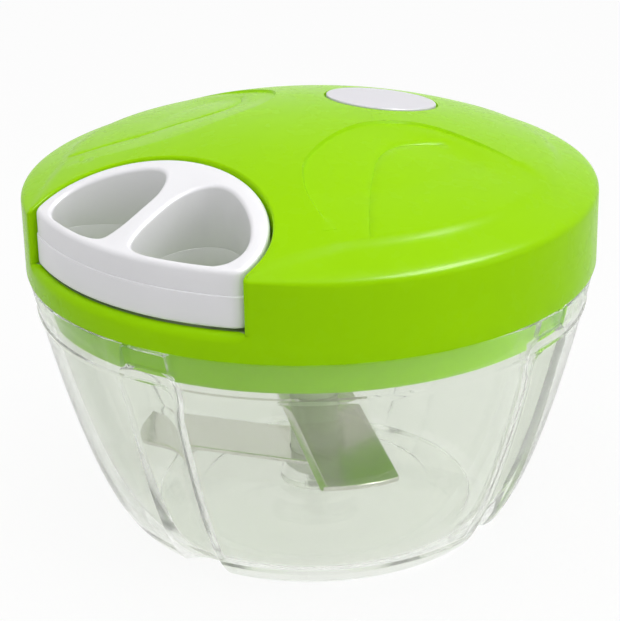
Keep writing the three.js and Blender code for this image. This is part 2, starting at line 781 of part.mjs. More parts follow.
function handleBlank() {
  let blank = raised(handlePlan(0, handleFrontRadius), handleBottom, domeHeight).intersect(lidSolid);
  blank = blank.subtract(fingerHole(1)).subtract(fingerHole(-1));
  const knotRoom = new THREE.SphereGeometry(knotRadius + gap, smallSides, smallSides / 2);
  knotRoom.translate(0, knotY, cordHeight);
  blank = blank.subtract(solidOf(knotRoom));
  blank = blank.subtract(alongY(cordDiameter / 2 + gap, knotY, handleBackY + overrun));
  for (const [, x, y] of handleScrewPlaces) {
    const bore = rod(handleScrewRadius + gap, handleBottom - overrun, handleScrewTop + gap);
    const sinkTop = handleScrewBottom + handleScrewHeadHeight;
    const sink = rod(handleScrewHeadRadius + gap, handleBottom - overrun, sinkTop);
    blank = blank.subtract(bore.add(sink).translate([x, y, 0]));
  }
  return blank;
}

const handleScrewBottom = handleBottom + gap;
const handleScrewTop = handleScrewBottom + handleScrewLength;
const blankHandle = handleBlank();
const spanBox = 4 * lidRadius;
const upperHalf = box(spanBox, spanBox, handleParting + gap / 2, domeHeight + overrun);
const lowerHalf = box(spanBox, spanBox, 0, handleParting - gap / 2);
add('handle_top', blankHandle.intersect(upperHalf), paints.white);
add('handle_bottom', blankHandle.intersect(lowerHalf), paints.white);

for (const [place, x, y] of handleScrewPlaces) {
  const screw = screwSolid(
    handleScrewBottom,
    handleScrewRadius,
    handleScrewHeadRadius,
    handleScrewHeadHeight - gap,
    handleScrewLength,
  );
  add(`handle_screw_${place}`, screw.translate([x, y, 0]), paints.steel);
}

// The end of the cord: a short run into the handle and the knot that holds it there
const knot = new THREE.SphereGeometry(knotRadius, smallSides, smallSides / 2);
knot.translate(0, knotY, cordHeight);
const cordEnd = alongY(cordDiameter / 2, knotY, pocketBackY - gap, pathSides);
add('cord_end', cordEnd.add(solidOf(knot)), paints.cord);

export default group;
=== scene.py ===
# A pull-cord vegetable dicer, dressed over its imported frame: a clear fluted bowl, steel blades on a
# centre shaft, and a green lid with a white two-finger handle that pulls a cord off a sprung reel.
# The shapes are written in millimetres and made in metres. The handle is on the -Y side.

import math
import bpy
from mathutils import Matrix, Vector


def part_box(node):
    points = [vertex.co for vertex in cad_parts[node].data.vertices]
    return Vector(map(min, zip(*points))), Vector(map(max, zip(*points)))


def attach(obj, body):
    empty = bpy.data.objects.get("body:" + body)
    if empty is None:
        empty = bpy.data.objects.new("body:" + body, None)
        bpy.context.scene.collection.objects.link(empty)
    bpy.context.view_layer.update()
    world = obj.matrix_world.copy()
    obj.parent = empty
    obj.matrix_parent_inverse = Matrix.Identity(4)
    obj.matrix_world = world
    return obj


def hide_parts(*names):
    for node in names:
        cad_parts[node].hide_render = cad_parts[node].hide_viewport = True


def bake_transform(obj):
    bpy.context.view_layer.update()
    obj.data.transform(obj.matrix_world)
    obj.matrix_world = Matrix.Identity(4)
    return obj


bl_info = {
    "name": "Vegetable Dicer",
    "version": (1, 0, 0),
    "blender": (4, 5, 0),
    "location": "3D View > Sidebar > Dicer",
    "description": "Builds a pull-cord vegetable dicer with its bowl, blades, lid, reel and handle",
    "category": "Add Mesh",
}

import bmesh
import bpy
import numpy as np
from bpy.props import FloatProperty, FloatVectorProperty, PointerProperty
from mathutils import Matrix, Vector
from mathutils.geometry import delaunay_2d_cdt

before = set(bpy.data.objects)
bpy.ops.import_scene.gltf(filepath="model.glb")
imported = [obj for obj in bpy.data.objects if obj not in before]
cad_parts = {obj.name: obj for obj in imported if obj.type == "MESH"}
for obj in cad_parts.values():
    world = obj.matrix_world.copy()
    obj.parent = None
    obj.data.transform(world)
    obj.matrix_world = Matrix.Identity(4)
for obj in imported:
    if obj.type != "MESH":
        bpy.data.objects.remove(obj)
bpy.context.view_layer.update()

MM = 0.001
MERGE_DISTANCE = 1e-7
PICTURE_LONG_SIDE = 621
SENSOR_LONG_SIDE = 36

# Bowl
BOWL_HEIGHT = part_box("bowl")[1].z / MM
RIM_RADIUS = 62.2
FOOT_RADIUS = 40
BOWL_WALL = 2
BOWL_FLOOR = 3
BOWL_CURVE = 0.56
FOOT_RING_INNER = 36
FOOT_RECESS = 1
FLUTE_COUNT = 4
FLUTE_COLUMNS = 18
WALL_COLUMNS = 24
FLUTE_RADIUS = 8
FLUTE_TOP = 44
FLUTE_TOP_POWER = 5
COLLAR_BEAD = 0.3
COLLAR_BEAD_HEIGHTS = (51.6, 52.2)
BOWL_TURN = math.radians(7)
LUG_HALF_WIDTH = 5
LUG_BOTTOM = 54.8
LUG_TOP = 58.4
LUG_PROTRUSION = 1.2
BOSS_RADIUS = 8
BOSS_TOP = 7
PIN_BORE = 2.3
BORE_FLOOR = 2.5

# Lid
LID_RADIUS = 62.5
LID_WALL = 2
COVER_BOTTOM = 60.4
SKIRT_TOP = 76.3
CREASE_RADIUS = 53.5
DOME_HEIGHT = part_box("lid_cover")[1].z / MM
DOME_RISE = 10.6
POCKET_HALF_WIDTH = 30
POCKET_FLOOR = 66.4
POCKET_WALL = 1.6
POCKET_DEPTH = 20
POCKET_BEND = 1.9
BACK_CENTRE = 50.5
CREASE_STEP = 0.4
CORNER_ANGLE = math.radians(30.4)
CORNER_FADE = math.radians(19.6)
CORNER_WIDTH = 1.7
CORNER_RISE = 0.7
POCKET_RIM_WIDTH = 0.5
POCKET_RIM_DROP = 0.7
LIP_ROUNDING = 2
LIP_FADE = 2.5
BADGE_CENTRE_X = 2
BADGE_CENTRE_Y = 22.3
BADGE_HALF_WIDTH = 12
BADGE_HALF_DEPTH = 12.5
BADGE_SEAT_DEPTH = 0.95
BADGE_FOOT_DEPTH = 0.7
BADGE_CROWN = 0.3

# Leaves of the lid, as places on the right half
LEAF_RIM = [(50.8, 16.4), (47.5, 17.2), (42.0, 17.6), (36.1, 17.0), (30.6, 16.1), (23.1, 14.0),
            (18.4, 10.8), (15.0, 6.1), (13.0, 0.7), (12.7, -5.6), (13.7, -13.3), (15.9, -20.5),
            (19.7, -25.8), (24.8, -30.1), (30.6, -33.2), (36.0, -35.3), (39.3, -36.1)]
LEAF_FOOT = [(29.5, 11.6), (25.6, 6.5), (23.2, 0.5), (24.2, -6.6), (29.2, -15.5), (34.0, -22.2),
             (38.9, -28.6), (42.0, -32.2)]
LEAF_START = math.radians(-42.6)
LEAF_END = math.radians(17.9)
LEAF_EDGE = 53.4
LEAF_STEP = 0.55
LEAF_SLOPE_RUN = 16
LEAF_BACK_FADE = 9
LEAF_CREASE = 0.4
LEAF_VEIN = 0.22
LEAF_TURN = math.radians(1.4)

# Handle
HANDLE_FRONT = 61
HANDLE_HALF_WIDTH = 29.3
HANDLE_DEPTH = 19.6
HANDLE_BOTTOM = 67
HANDLE_PARTING = 73.8
HANDLE_BACK_Y = -31.5
HANDLE_LENGTH = 29.5
HANDLE_BEND = 2.3
HANDLE_SINK = 0.08
FINGER_HOLE = [(0.18, 0.095), (0.457, 0.115), (0.75, 0.21), (0.863, 0.34), (0.84, 0.51), (0.666, 0.69),
               (0.41, 0.817), (0.218, 0.8), (0.1, 0.627), (0.082, 0.407), (0.1, 0.186)]
HANDLE_SCREWS = [("left", -5, -34.9), ("right", 5, -34.9), ("front", 0, -55)]

# Lid base, shaft and reel
BASE_BOTTOM = 52.6
BASE_SKIRT = 58
BASE_PLATE = 53.2
BASE_TOP = 55.4
SCREW_CIRCLE = 46.017
SCREW_ANGLES = (45, 135, 225, 315)
CORD_HEIGHT = 73.8
CORD_RADIUS = 0.9
COIL_CORD_RADIUS = 0.86
KNOT_CORD_RADIUS = 0.72
KNOT_Y = -39.5
POCKET_BACK_Y = -30.3
CUP_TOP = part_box("spring_cover")[1].z / MM
BLADES = [("lower", 12, 203), ("middle", 26, 323), ("upper", 40, 83)]
BLADE_TIP_ROOM = 6.6
BLADE_HALF_WIDTH = 8.4
BLADE_HALF_THICKNESS = 0.5
POST_RADIUS = 5.5
COLLAR_RADIUS = 7

# Camera, floor and lamps, in metres. A lamp is its azimuth, elevation, distance, width and height.
CAMERA_DISTANCE = 0.46329
CAMERA_ELEVATION = math.radians(27.947)
CAMERA_SPIN = math.radians(41.4)
CAMERA_PAN = math.radians(0.062)
CAMERA_TILT = math.radians(5.25)
CAMERA_ROLL = math.radians(1.097)
FOCAL_PIXELS = 1980.8
FLOOR_REACH = 4
FLOOR_GLOW = 0.93
LAMP_AIM = (0, 0, 0.05)
TOP_LAMP = (30, 82, 0.65, 0.5, 0.5)
SIDE_LAMP = (108, 25, 0.8, 0.5, 0.5)
GLINT_LAMP = (113, 59, 0.7, 0.45, 0.2)

# Patterns of the materials
PATTERN_LOW = 0.3
PATTERN_HIGH = 0.7
GRAIN_SCALE = 900


def dome_at(x, y):
    """Height of the lid's outer dome over a place."""
    return DOME_HEIGHT - DOME_RISE * (x * x + y * y) / CREASE_RADIUS ** 2


def bowl_radius(height):
    """Outer radius of the bowl at a height."""
    share = max(height, 0) / BOWL_HEIGHT
    return FOOT_RADIUS + (RIM_RADIUS - FOOT_RADIUS) * share ** BOWL_CURVE


def bowl_inside(height):
    """Inner radius of the bowl at a height."""
    share = max(height - BOWL_FLOOR, 0) / (BOWL_HEIGHT - BOWL_FLOOR)
    return FOOT_RADIUS - BOWL_WALL + (RIM_RADIUS - FOOT_RADIUS) * share ** BOWL_CURVE


def spread(first, last, count):
    """Evenly spaced numbers, both ends included."""
    return [first + (last - first) * i / (count - 1) for i in range(count)]


def smooth_step(value):
    """A share from 0 to 1, eased at both ends."""
    value = min(max(value, 0), 1)
    return value * value * (3 - 2 * value)


class Shell:
    """Points, faces and paint numbers of one piece, in millimetres."""

    def __init__(self):
        self.points = []
        self.faces = []
        self.paints = []
        self.paint = 0

    def add(self, points):
        """Adds points and gives their numbers."""
        first = len(self.points)
        self.points.extend(tuple(point) for point in points)
        return list(range(first, len(self.points)))

    def face(self, *corners):
        self.faces.append(tuple(corners))
        self.paints.append(self.paint)

    def join(self, low, high, closed=True):
        """Faces between two rows of points. A row of one point closes the other row to a tip."""
        count = max(len(low), len(high))
        for i in range(count if closed else count - 1):
            j = (i + 1) % count
            if len(low) == 1:
                self.face(low[0], high[j], high[i])
            elif len(high) == 1:
                self.face(low[i], low[j], high[0])
            else:
                self.face(low[i], low[j], high[j], high[i])

    def skin(self, rows, closed=True, looped=False):
        """Faces over a stack of rows. A looped stack also joins its last row to its first."""
        for low, high in zip(rows, rows[1:]):
            self.join(low, high, closed)
        if looped:
            self.join(rows[-1], rows[0], closed)

    def lay(self, fill, rim, height):
        """A filled outline laid on rim points that are there already."""
        inside = self.add([(x, y, height(x, y)) for x, y in fill.inside])
        table = rim + inside
        for corners in fill.triangles:
            self.face(*(table[i] for i in corners))
        return inside


class Fill:
    """Triangles over an outline with holes. Its points are the outlines' in order, then the inside ones."""

    def __init__(self, outer, holes=(), lines=(), spacing=2.0, clear=0.55):
        loops = [outer, *holes]
        coords = [tuple(point) for loop in loops for point in loop]
        edges = []
        first = 0
        for loop in loops:
            edges += [(first + i, first + (i + 1) % len(loop)) for i in range(len(loop))]
            first += len(loop)
        rim_count = first
        for line, is_closed in lines:
            coords += [tuple(point) for point in line]
            steps = len(line) if is_closed else len(line) - 1
            edges += [(first + i, first + (i + 1) % len(line)) for i in range(steps)]
            first += len(line)
        fixed = np.array(coords)
        free = []
        low, high = fixed.min(0), fixed.max(0)
        for i, y in enumerate(np.arange(low[1], high[1], spacing * 0.87)):
            for x in np.arange(low[0] + (i % 2) * spacing / 2, high[0], spacing):
                near = ((fixed - (x, y)) ** 2).sum(1).min()
                if near > (clear * spacing) ** 2 and self.covers((x, y), loops):
                    free.append((x, y))
        coords += free
        flat = [Vector(point) for point in coords]
        points, _, triangles, sources, _, _ = delaunay_2d_cdt(flat, edges, [], 0, 1e-7)
        order = []
        for point, source in zip(points, sources):
            if not source:
                coords.append(tuple(point))
            order.append(source[0] if source else len(coords) - 1)
        self.triangles = []
        for corners in triangles:
            middle = sum((points[i] for i in corners), Vector((0, 0))) / 3
            if self.covers(middle, loops):
                self.triangles.append(tuple(order[i] for i in corners))
        self.inside = coords[rim_count:]

    @staticmethod
    def covers(point, loops):
        return within(point, loops[0]) and not any(within(point, hole) for hole in loops[1:])


def within(point, loop):
    """Whether a place is inside a closed outline."""
    x, y = point
    inside = False
    before = loop[-1]
    for after in loop:
        if (after[1] > y) != (before[1] > y):
            crossing = (before[0] - after[0]) * (y - after[1]) / (before[1] - after[1]) + after[0]
            if x < crossing:
                inside = not inside
        before = after
    return inside


def distance_to(line, point):
    """Shortest distance from a place to an open line."""
    start = np.array(line[:-1], float)
    run = np.array(line[1:], float) - start
    offset = np.array(point, float) - start
    along = np.clip((offset * run).sum(1) / np.maximum((run * run).sum(1), 1e-12), 0, 1)
    return float(np.sqrt(((offset - run * along[:, None]) ** 2).sum(1).min()))


def grown(loop, margins):
    """A closed anticlockwise outline moved outwards by a margin, or by one margin for each point."""
    if not isinstance(margins, (list, tuple)):
        margins = [margins] * len(loop)
    moved = []
    for i, margin in enumerate(margins):
        here = Vector(loop[i])
        back = (here - Vector(loop[i - 1])).normalized()
        ahead = (Vector(loop[(i + 1) % len(loop)]) - here).normalized()
        side = Vector((back.y + ahead.y, -back.x - ahead.x)).normalized()
        stretch = 1 / max(side.dot(Vector((back.y, -back.x))), 0.6)
        moved.append(tuple(here + side * margin * stretch))
    return moved


def softened(corners, closed=True, steps=4):
    """A profile of (radius, height, rounding) corners, with each corner rounded off."""
    points = []
    for i, (x, y, rounding) in enumerate(corners):
        if rounding <= 0 or (not closed and i in (0, len(corners) - 1)):
            points.append((x, y))
            continue
        here = Vector((x, y))
        back = Vector(corners[i - 1][:2]) - here
        ahead = Vector(corners[(i + 1) % len(corners)][:2]) - here
        run = min(rounding, back.length * 0.49, ahead.length * 0.49)
        start = here + back.normalized() * run
        end = here + ahead.normalized() * run
        points += bend(start, here, end, steps)
    return points


def bend(start, corner, end, steps):
    """Points on a smooth bend from start to end, pulled towards a corner."""
    start, corner, end = Vector(start), Vector(corner), Vector(end)
    shares = spread(0, 1, steps + 1)
    return [tuple(start.lerp(corner, t).lerp(corner.lerp(end, t), t)) for t in shares]


def flowing(knots, closed, steps):
    """A smooth line through knots."""
    count = len(knots)
    line = []
    for i in range(count if closed else count - 1):
        if closed:
            picked = [Vector(knots[(i + k) % count]) for k in (-1, 0, 1, 2)]
        else:
            picked = [Vector(knots[min(max(i + k, 0), count - 1)]) for k in (-1, 0, 1, 2)]
        a, b, c, d = picked
        for t in spread(0, 1, steps + 1)[:-1]:
            bent = (b * 2 + (c - a) * t + (a * 2 - b * 5 + c * 4 - d) * t * t
                    + (b * 3 - a - c * 3 + d) * t ** 3) / 2
            line.append(tuple(bent))
    if not closed:
        line.append(tuple(knots[-1]))
    return line


def circle(radius, sides, centre=(0, 0)):
    """A full circle of points, anticlockwise."""
    return [(centre[0] + radius * math.cos(2 * math.pi * i / sides),
             centre[1] + radius * math.sin(2 * math.pi * i / sides)) for i in range(sides)]


def on_circle(radius, angles):
    """Places on a circle about the dicer's axis."""
    return [(radius * math.cos(a), radius * math.sin(a)) for a in angles]


def turn_profile(shell, profile, sides, centre=(0, 0), looped=True):
    """A round body from a (radius, height) profile."""
    rows = []
    for radius, height in profile:
        if radius < 1e-6:
            rows.append(shell.add([(*centre, height)]))
        else:
            rows.append(shell.add([(x, y, height) for x, y in circle(radius, sides, centre)]))
    shell.skin(rows, looped=looped)
    return rows


def tube(shell, inner, outer, bottom, top, sides, centre=(0, 0)):
    """A plain upright tube."""
    turn_profile(shell, [(inner, bottom), (outer, bottom), (outer, top), (inner, top)], sides, centre)


def sweep(shell, path, radius, sides, closed=False):
    """A round tube along a path of 3-D points."""
    points = [Vector(point) for point in path]
    count = len(points)
    side = None
    rows = []
    for i, here in enumerate(points):
        before = points[i - 1] if closed or i else here
        after = points[(i + 1) % count] if closed or i < count - 1 else here
        along = (after - before).normalized()
        if side is None:
            side = along.orthogonal().normalized()
        side = (side - along * side.dot(along)).normalized()
        other = along.cross(side)
        angles = [2 * math.pi * k / sides for k in range(sides)]
        rows.append(shell.add([here + side * radius * math.cos(a) + other * radius * math.sin(a)
                               for a in angles]))
    if closed:
        shell.skin(rows, looped=True)
        return
    ends = shell.add([points[0], points[-1]])
    shell.skin([[ends[0]], *rows, [ends[1]]])


def make_piece(name, shell, body, materials, nodes, sharp=32, sliver=0):
    """Turns a shell into an object that rides on a body and stands for CAD nodes.

    Edges bent by more than sharp degrees stay crisp, and faces thinner than sliver metres are dissolved.
    """
    mesh = bpy.data.meshes.new(name)
    mesh.from_pydata([Vector(point) * MM for point in shell.points], [], shell.faces)
    mesh.polygons.foreach_set("material_index", shell.paints)
    work = bmesh.new()
    work.from_mesh(mesh)
    bmesh.ops.remove_doubles(work, verts=work.verts, dist=MERGE_DISTANCE)
    if sliver:
        bmesh.ops.dissolve_degenerate(work, dist=sliver, edges=work.edges)
    bmesh.ops.recalc_face_normals(work, faces=work.faces)
    work.to_mesh(mesh)
    work.free()
    mesh.shade_smooth()
    mesh.set_sharp_from_angle(angle=math.radians(sharp))
    for material in materials:
        mesh.materials.append(material)
    piece = bpy.data.objects.new(name, mesh)
    bpy.context.scene.collection.objects.link(piece)
    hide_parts(*nodes)
    if body:
        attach(piece, body)
    return piece


class Finish:
    """A material whose shader takes its colour, roughness and relief from procedural patterns."""

    SOCKETS = {"metallic": "Metallic", "ior": "IOR", "specular": "Specular IOR Level",
               "transmission": "Transmission Weight", "scatter": "Subsurface Weight",
               "scatter_reach": "Subsurface Scale", "sheen": "Sheen Weight", "alpha": "Alpha"}

    def __init__(self, name):
        self.material = bpy.data.materials.new(name)
        self.material.use_nodes = True
        self.nodes = self.material.node_tree.nodes
        self.links = self.material.node_tree.links
        self.shader = next(node for node in self.nodes if node.type == "BSDF_PRINCIPLED")
        self.place = self.nodes.new("ShaderNodeTexCoord").outputs["Object"]

    def set(self, **values):
        """Sets numbers that are the same all over the surface on the shader's own sockets."""
        for key, value in values.items():
            self.shader.inputs[self.SOCKETS[key]].default_value = value

    def stretched(self, scale):
        mapping = self.nodes.new("ShaderNodeMapping")
        mapping.inputs["Scale"].default_value = scale
        self.links.new(self.place, mapping.inputs["Vector"])
        return mapping.outputs["Vector"]

    def noise(self, scale, detail=2.0, place=None):
        pattern = self.nodes.new("ShaderNodeTexNoise")
        pattern.inputs["Scale"].default_value = scale
        pattern.inputs["Detail"].default_value = detail
        self.links.new(place or self.place, pattern.inputs["Vector"])
        return pattern.outputs["Fac"]

    def tint(self, source, first, second):
        ramp = self.nodes.new("ShaderNodeValToRGB")
        ramp.color_ramp.elements[0].position = PATTERN_LOW
        ramp.color_ramp.elements[1].position = PATTERN_HIGH
        ramp.color_ramp.elements[0].color = (*first, 1)
        ramp.color_ramp.elements[1].color = (*second, 1)
        self.links.new(source, ramp.inputs["Fac"])
        self.links.new(ramp.outputs["Color"], self.shader.inputs["Base Color"])

    def vary_roughness(self, source, low, high):
        spanning = self.nodes.new("ShaderNodeMapRange")
        self.links.new(source, spanning.inputs["Value"])
        spanning.inputs["From Min"].default_value = PATTERN_LOW
        spanning.inputs["From Max"].default_value = PATTERN_HIGH
        spanning.inputs["To Min"].default_value = low
        spanning.inputs["To Max"].default_value = high
        self.links.new(spanning.outputs["Result"], self.shader.inputs["Roughness"])

    def relief(self, source, depth):
        bump = self.nodes.new("ShaderNodeBump")
        bump.inputs["Strength"].default_value = 1
        bump.inputs["Distance"].default_value = depth
        self.links.new(source, bump.inputs["Height"])
        self.links.new(bump.outputs["Normal"], self.shader.inputs["Normal"])


def shaded(colour, share):
    """A colour made darker or lighter by a share."""
    return tuple(channel * share for channel in colour)


def moulded_plastic(name, colour, roughness, specular, grain_depth=0.00001):
    """Moulded plastic: an even colour with faint clouding and a fine moulded grain."""
    finish = Finish(name)
    finish.set(specular=specular, ior=1.5)
    finish.tint(finish.noise(25, 3), shaded(colour, 0.97), shaded(colour, 1.02))
    finish.vary_roughness(finish.noise(180, 4), roughness - 0.03, roughness + 0.04)
    finish.relief(finish.noise(GRAIN_SCALE, 3), grain_depth)
    return finish.material


def clear_plastic(name, colour):
    """Clear moulded plastic with faint waves in its walls and fine handling marks."""
    finish = Finish(name)
    finish.set(transmission=0.94, ior=1.13, specular=0.5, alpha=0.9)
    finish.tint(finish.noise(14, 2), shaded(colour, 0.985), colour)
    finish.vary_roughness(finish.noise(500, 5), 0.03, 0.07)
    finish.relief(finish.noise(60, 1), 0.00004)
    return finish.material


def brushed_steel(name, colour, roughness, direction=(40, 1400, 400)):
    """Rolled steel with fine brushing along the blade."""
    finish = Finish(name)
    finish.set(metallic=1.0)
    lines = finish.noise(1, 4, finish.stretched(direction))
    finish.tint(lines, shaded(colour, 0.9), colour)
    finish.vary_roughness(lines, roughness - 0.03, roughness + 0.05)
    finish.relief(lines, 0.000006)
    return finish.material


def soft_rubber(name, colour):
    """Milky silicone with a fine matt surface."""
    finish = Finish(name)
    finish.set(specular=0.35, scatter=0.2, scatter_reach=0.002)
    finish.tint(finish.noise(90, 3), shaded(colour, 0.96), colour)
    finish.vary_roughness(finish.noise(700, 3), 0.5, 0.62)
    finish.relief(finish.noise(1500, 2), 0.00001)
    return finish.material


def braided_cord(name, colour):
    """Braided cord: crossing strands as small relief and shade."""
    finish = Finish(name)
    finish.set(specular=0.2, sheen=0.2)
    weave = finish.nodes.new("ShaderNodeTexWave")
    weave.inputs["Scale"].default_value = 420
    weave.inputs["Distortion"].default_value = 3
    finish.links.new(finish.place, weave.inputs["Vector"])
    finish.tint(weave.outputs["Fac"], shaded(colour, 0.78), colour)
    finish.vary_roughness(finish.noise(900, 2), 0.75, 0.9)
    finish.relief(weave.outputs["Fac"], 0.00008)
    return finish.material


# Lid cover

def pocket_side(radius, half_width, depth, front_run, side_run):
    """The pocket's outline from the right end of the front arc, round the back, to its left end."""
    corner = (half_width, -math.sqrt(radius ** 2 - half_width ** 2))
    front_angle = math.asin(half_width / radius) + front_run / radius
    start = (radius * math.sin(front_angle), -radius * math.cos(front_angle))
    right = bend(start, corner, (half_width, corner[1] + side_run), 6)
    back = [(half_width * math.cos(a), -BACK_CENTRE + depth * math.sin(a)) for a in spread(0, math.pi, 61)]
    left = [(-x, y) for x, y in reversed(right)]
    return right, back, left


def corner_share(angle):
    """How near a place on the skirt is to the pocket's corner, from 1 at the corner to 0."""
    from_front = abs((angle + math.pi / 2 + math.pi) % (2 * math.pi) - math.pi)
    gone = (from_front - CORNER_ANGLE) / CORNER_FADE
    return max(0.0, 1 - max(gone, 0.0))


def shoulder_step(share, roundness):
    """Run and rise at a step of the shoulder's bend. A roundness of 1 makes it a plain quarter circle."""
    left = 1 - share
    run_pull = 0.99
    low_rise_pull = 1.26
    high_rise_pull = 1.35
    run = run_pull * left * share * share + share ** 3
    rise = low_rise_pull * left * left * share + high_rise_pull * left * share * share + share ** 3
    angle = share * math.pi / 2
    run += (1 - math.cos(angle) - run) * roundness
    rise += (math.sin(angle) - rise) * roundness
    return run, rise


class Leaf:
    """One sunken leaf of the lid's top. side is 1 for the right leaf and -1 for the left one."""

    def __init__(self, side, depth):
        self.side = side
        self.depth = depth
        turn = side * LEAF_TURN
        rim = self.turned(flowing(LEAF_RIM, False, 6), turn)
        foot = self.turned(flowing(LEAF_FOOT, False, 6), turn)
        arc = on_circle(LEAF_EDGE, spread(LEAF_START + turn, LEAF_END + turn, 40))
        self.rim = rim
        self.foot = foot
        self.area = rim + arc[1:-1]
        self.back = rim[6:31]
        self.strip = rim[24:] + list(reversed(foot))

    def sink(self, x, y):
        """How far the lid's top lies below the dome here."""
        x *= self.side
        if not within((x, y), self.area):
            return 0.0
        to_rim = distance_to(self.rim, (x, y))
        share = 1.0
        if within((x, y), self.strip):
            to_foot = distance_to(self.foot, (x, y))
            share = to_rim / (to_rim + to_foot + 1e-9)
        share *= smooth_step(distance_to(self.back, (x, y)) / LEAF_BACK_FADE)
        outside = min(1.0, (LEAF_EDGE - math.hypot(x, y)) / LEAF_SLOPE_RUN)
        return (LEAF_STEP + (self.depth - LEAF_STEP) * share) * max(outside, 0.0)

    def lines(self):
        """The lines that the top's triangles follow: the rim, the slope's foot, and beside both."""
        rim_top = self.rim[2:-2]
        rim_foot = self.shifted(rim_top, -LEAF_CREASE)
        vein = self.foot[2:-2]
        made = [rim_top, vein, rim_foot, self.shifted(vein, LEAF_CREASE), self.shifted(vein, -LEAF_CREASE)]
        return [[(x * self.side, y) for x, y in line] for line in made]

    @staticmethod
    def turned(line, angle):
        """The line turned a little, because the two leaves aren't quite a mirrored pair."""
        return [(x * math.cos(angle) - y * math.sin(angle), x * math.sin(angle) + y * math.cos(angle))
                for x, y in line]

    @staticmethod
    def shifted(line, margin):
        moved = []
        for i, point in enumerate(line):
            along = Vector(line[min(i + 1, len(line) - 1)]) - Vector(line[max(i - 1, 0)])
            across = Vector((along.y, -along.x)).normalized()
            moved.append(tuple(Vector(point) + across * margin))
        return moved


class CoverPlan:
    """The lid cover seen from above: the lid's arc, then the pocket's wall from its left end to its right.

    Each point has the shoulder's width there, the height it starts at, its roundness and its crest's drop.
    """

    def __init__(self, crease):
        right, back, left = pocket_side(LID_RADIUS, POCKET_HALF_WIDTH, POCKET_DEPTH, POCKET_BEND, POCKET_BEND)
        self.first_angle = math.atan2(right[0][1], right[0][0])
        self.last_angle = math.pi - self.first_angle
        arc_angles = spread(self.first_angle, self.last_angle, 181)
        self.arc = on_circle(LID_RADIUS, arc_angles)
        self.wall = list(reversed(right[1:] + back + left[:-1]))
        self.points = self.arc + self.wall
        self.widths = []
        self.starts = []
        self.roundings = []
        self.crests = []
        for angle in arc_angles:
            share = corner_share(angle)
            self.widths.append(crease - (crease - CORNER_WIDTH) * share ** 1.3)
            self.starts.append(SKIRT_TOP + CORNER_RISE * smooth_step(share))
            self.roundings.append(0)
            self.crests.append(CREASE_STEP * (1 - share ** 3))
        bend_count = len(right) - 1
        shares = [min(i + 1, len(self.wall) - i, bend_count) / bend_count for i in range(len(self.wall))]
        for share in shares:
            self.widths.append(CORNER_WIDTH + (POCKET_RIM_WIDTH - CORNER_WIDTH) * smooth_step(share))
            self.roundings.append(share)
            self.crests.append(0)
        self.tops = grown(self.points, [-width for width in self.widths])
        corner_start = self.starts[0]
        for top, share in zip(self.tops[len(self.arc):], shares):
            full = dome_at(*top) - POCKET_RIM_DROP
            eased = corner_start + (full - corner_start) * smooth_step(share)
            self.starts.append(full if share == 1 else eased)

    def outer_rows(self):
        """Rows of points from the height of the pocket's floor up the skirt and over the shoulder."""
        rows = []
        for share in spread(0, 1, 4):
            rows.append([(x, y, POCKET_FLOOR + (start - POCKET_FLOOR) * share)
                         for (x, y), start in zip(self.points, self.starts)])
        columns = list(zip(self.points, self.tops, self.starts, self.roundings, self.crests))
        for share in spread(0, 1, 12)[1:]:
            row = []
            for (x, y), (end_x, end_y), start, roundness, crest in columns:
                run, rise = shoulder_step(share, roundness)
                row.append((x + (end_x - x) * run, y + (end_y - y) * run,
                            start + (dome_at(end_x, end_y) - crest - start) * rise))
            rows.append(row)
        return rows

    def lip_row(self, angles, turn):
        """A row of the rounded lip in front of the pocket. The rounding fades out at both ends."""
        row = []
        for angle in angles:
            from_end = min(angle - self.last_angle, 2 * math.pi + self.first_angle - angle) * LID_RADIUS
            rounding = LIP_ROUNDING * smooth_step(from_end / LIP_FADE)
            radius = LID_RADIUS - rounding * (1 - math.cos(turn))
            height = POCKET_FLOOR - rounding * (1 - math.sin(turn))
            row.append((radius * math.cos(angle), radius * math.sin(angle), height))
        return row


class Dome:
    """The dome's triangles, which follow the leaves and the badge's seat, and the heights of both sides."""

    def __init__(self, plan, leaf_depth):
        self.leaves = [Leaf(1, leaf_depth), Leaf(-1, leaf_depth)]
        self.seat = badge_outline(0.22)
        seat_rim = badge_outline(0.5)
        near_crease = grown(plan.points, [-width - 0.6 for width in plan.widths])
        lines = [(near_crease, True), (seat_rim, True), (self.seat, True)]
        for leaf in self.leaves:
            lines += [(line, False) for line in leaf.lines()]
        self.fill = Fill(plan.tops, lines=lines, spacing=1.7)
        self.rims = {point for leaf in self.leaves for point in leaf.lines()[0]} | set(seat_rim)
        self.veins = {point for leaf in self.leaves for point in leaf.lines()[1]}
        self.seat_foot = set(self.seat)

    def sink(self, x, y):
        return self.leaves[0 if x > 0 else 1].sink(x, y)

    def top(self, x, y):
        place = (x, y)
        if place in self.rims:
            return dome_at(x, y)
        if place in self.seat_foot or within(place, self.seat):
            return dome_at(x, y) - BADGE_SEAT_DEPTH
        return dome_at(x, y) - self.sink(x, y) - (LEAF_VEIN if place in self.veins else 0)

    def underside(self, x, y):
        return dome_at(x, y) - LID_WALL - self.sink(x, y)


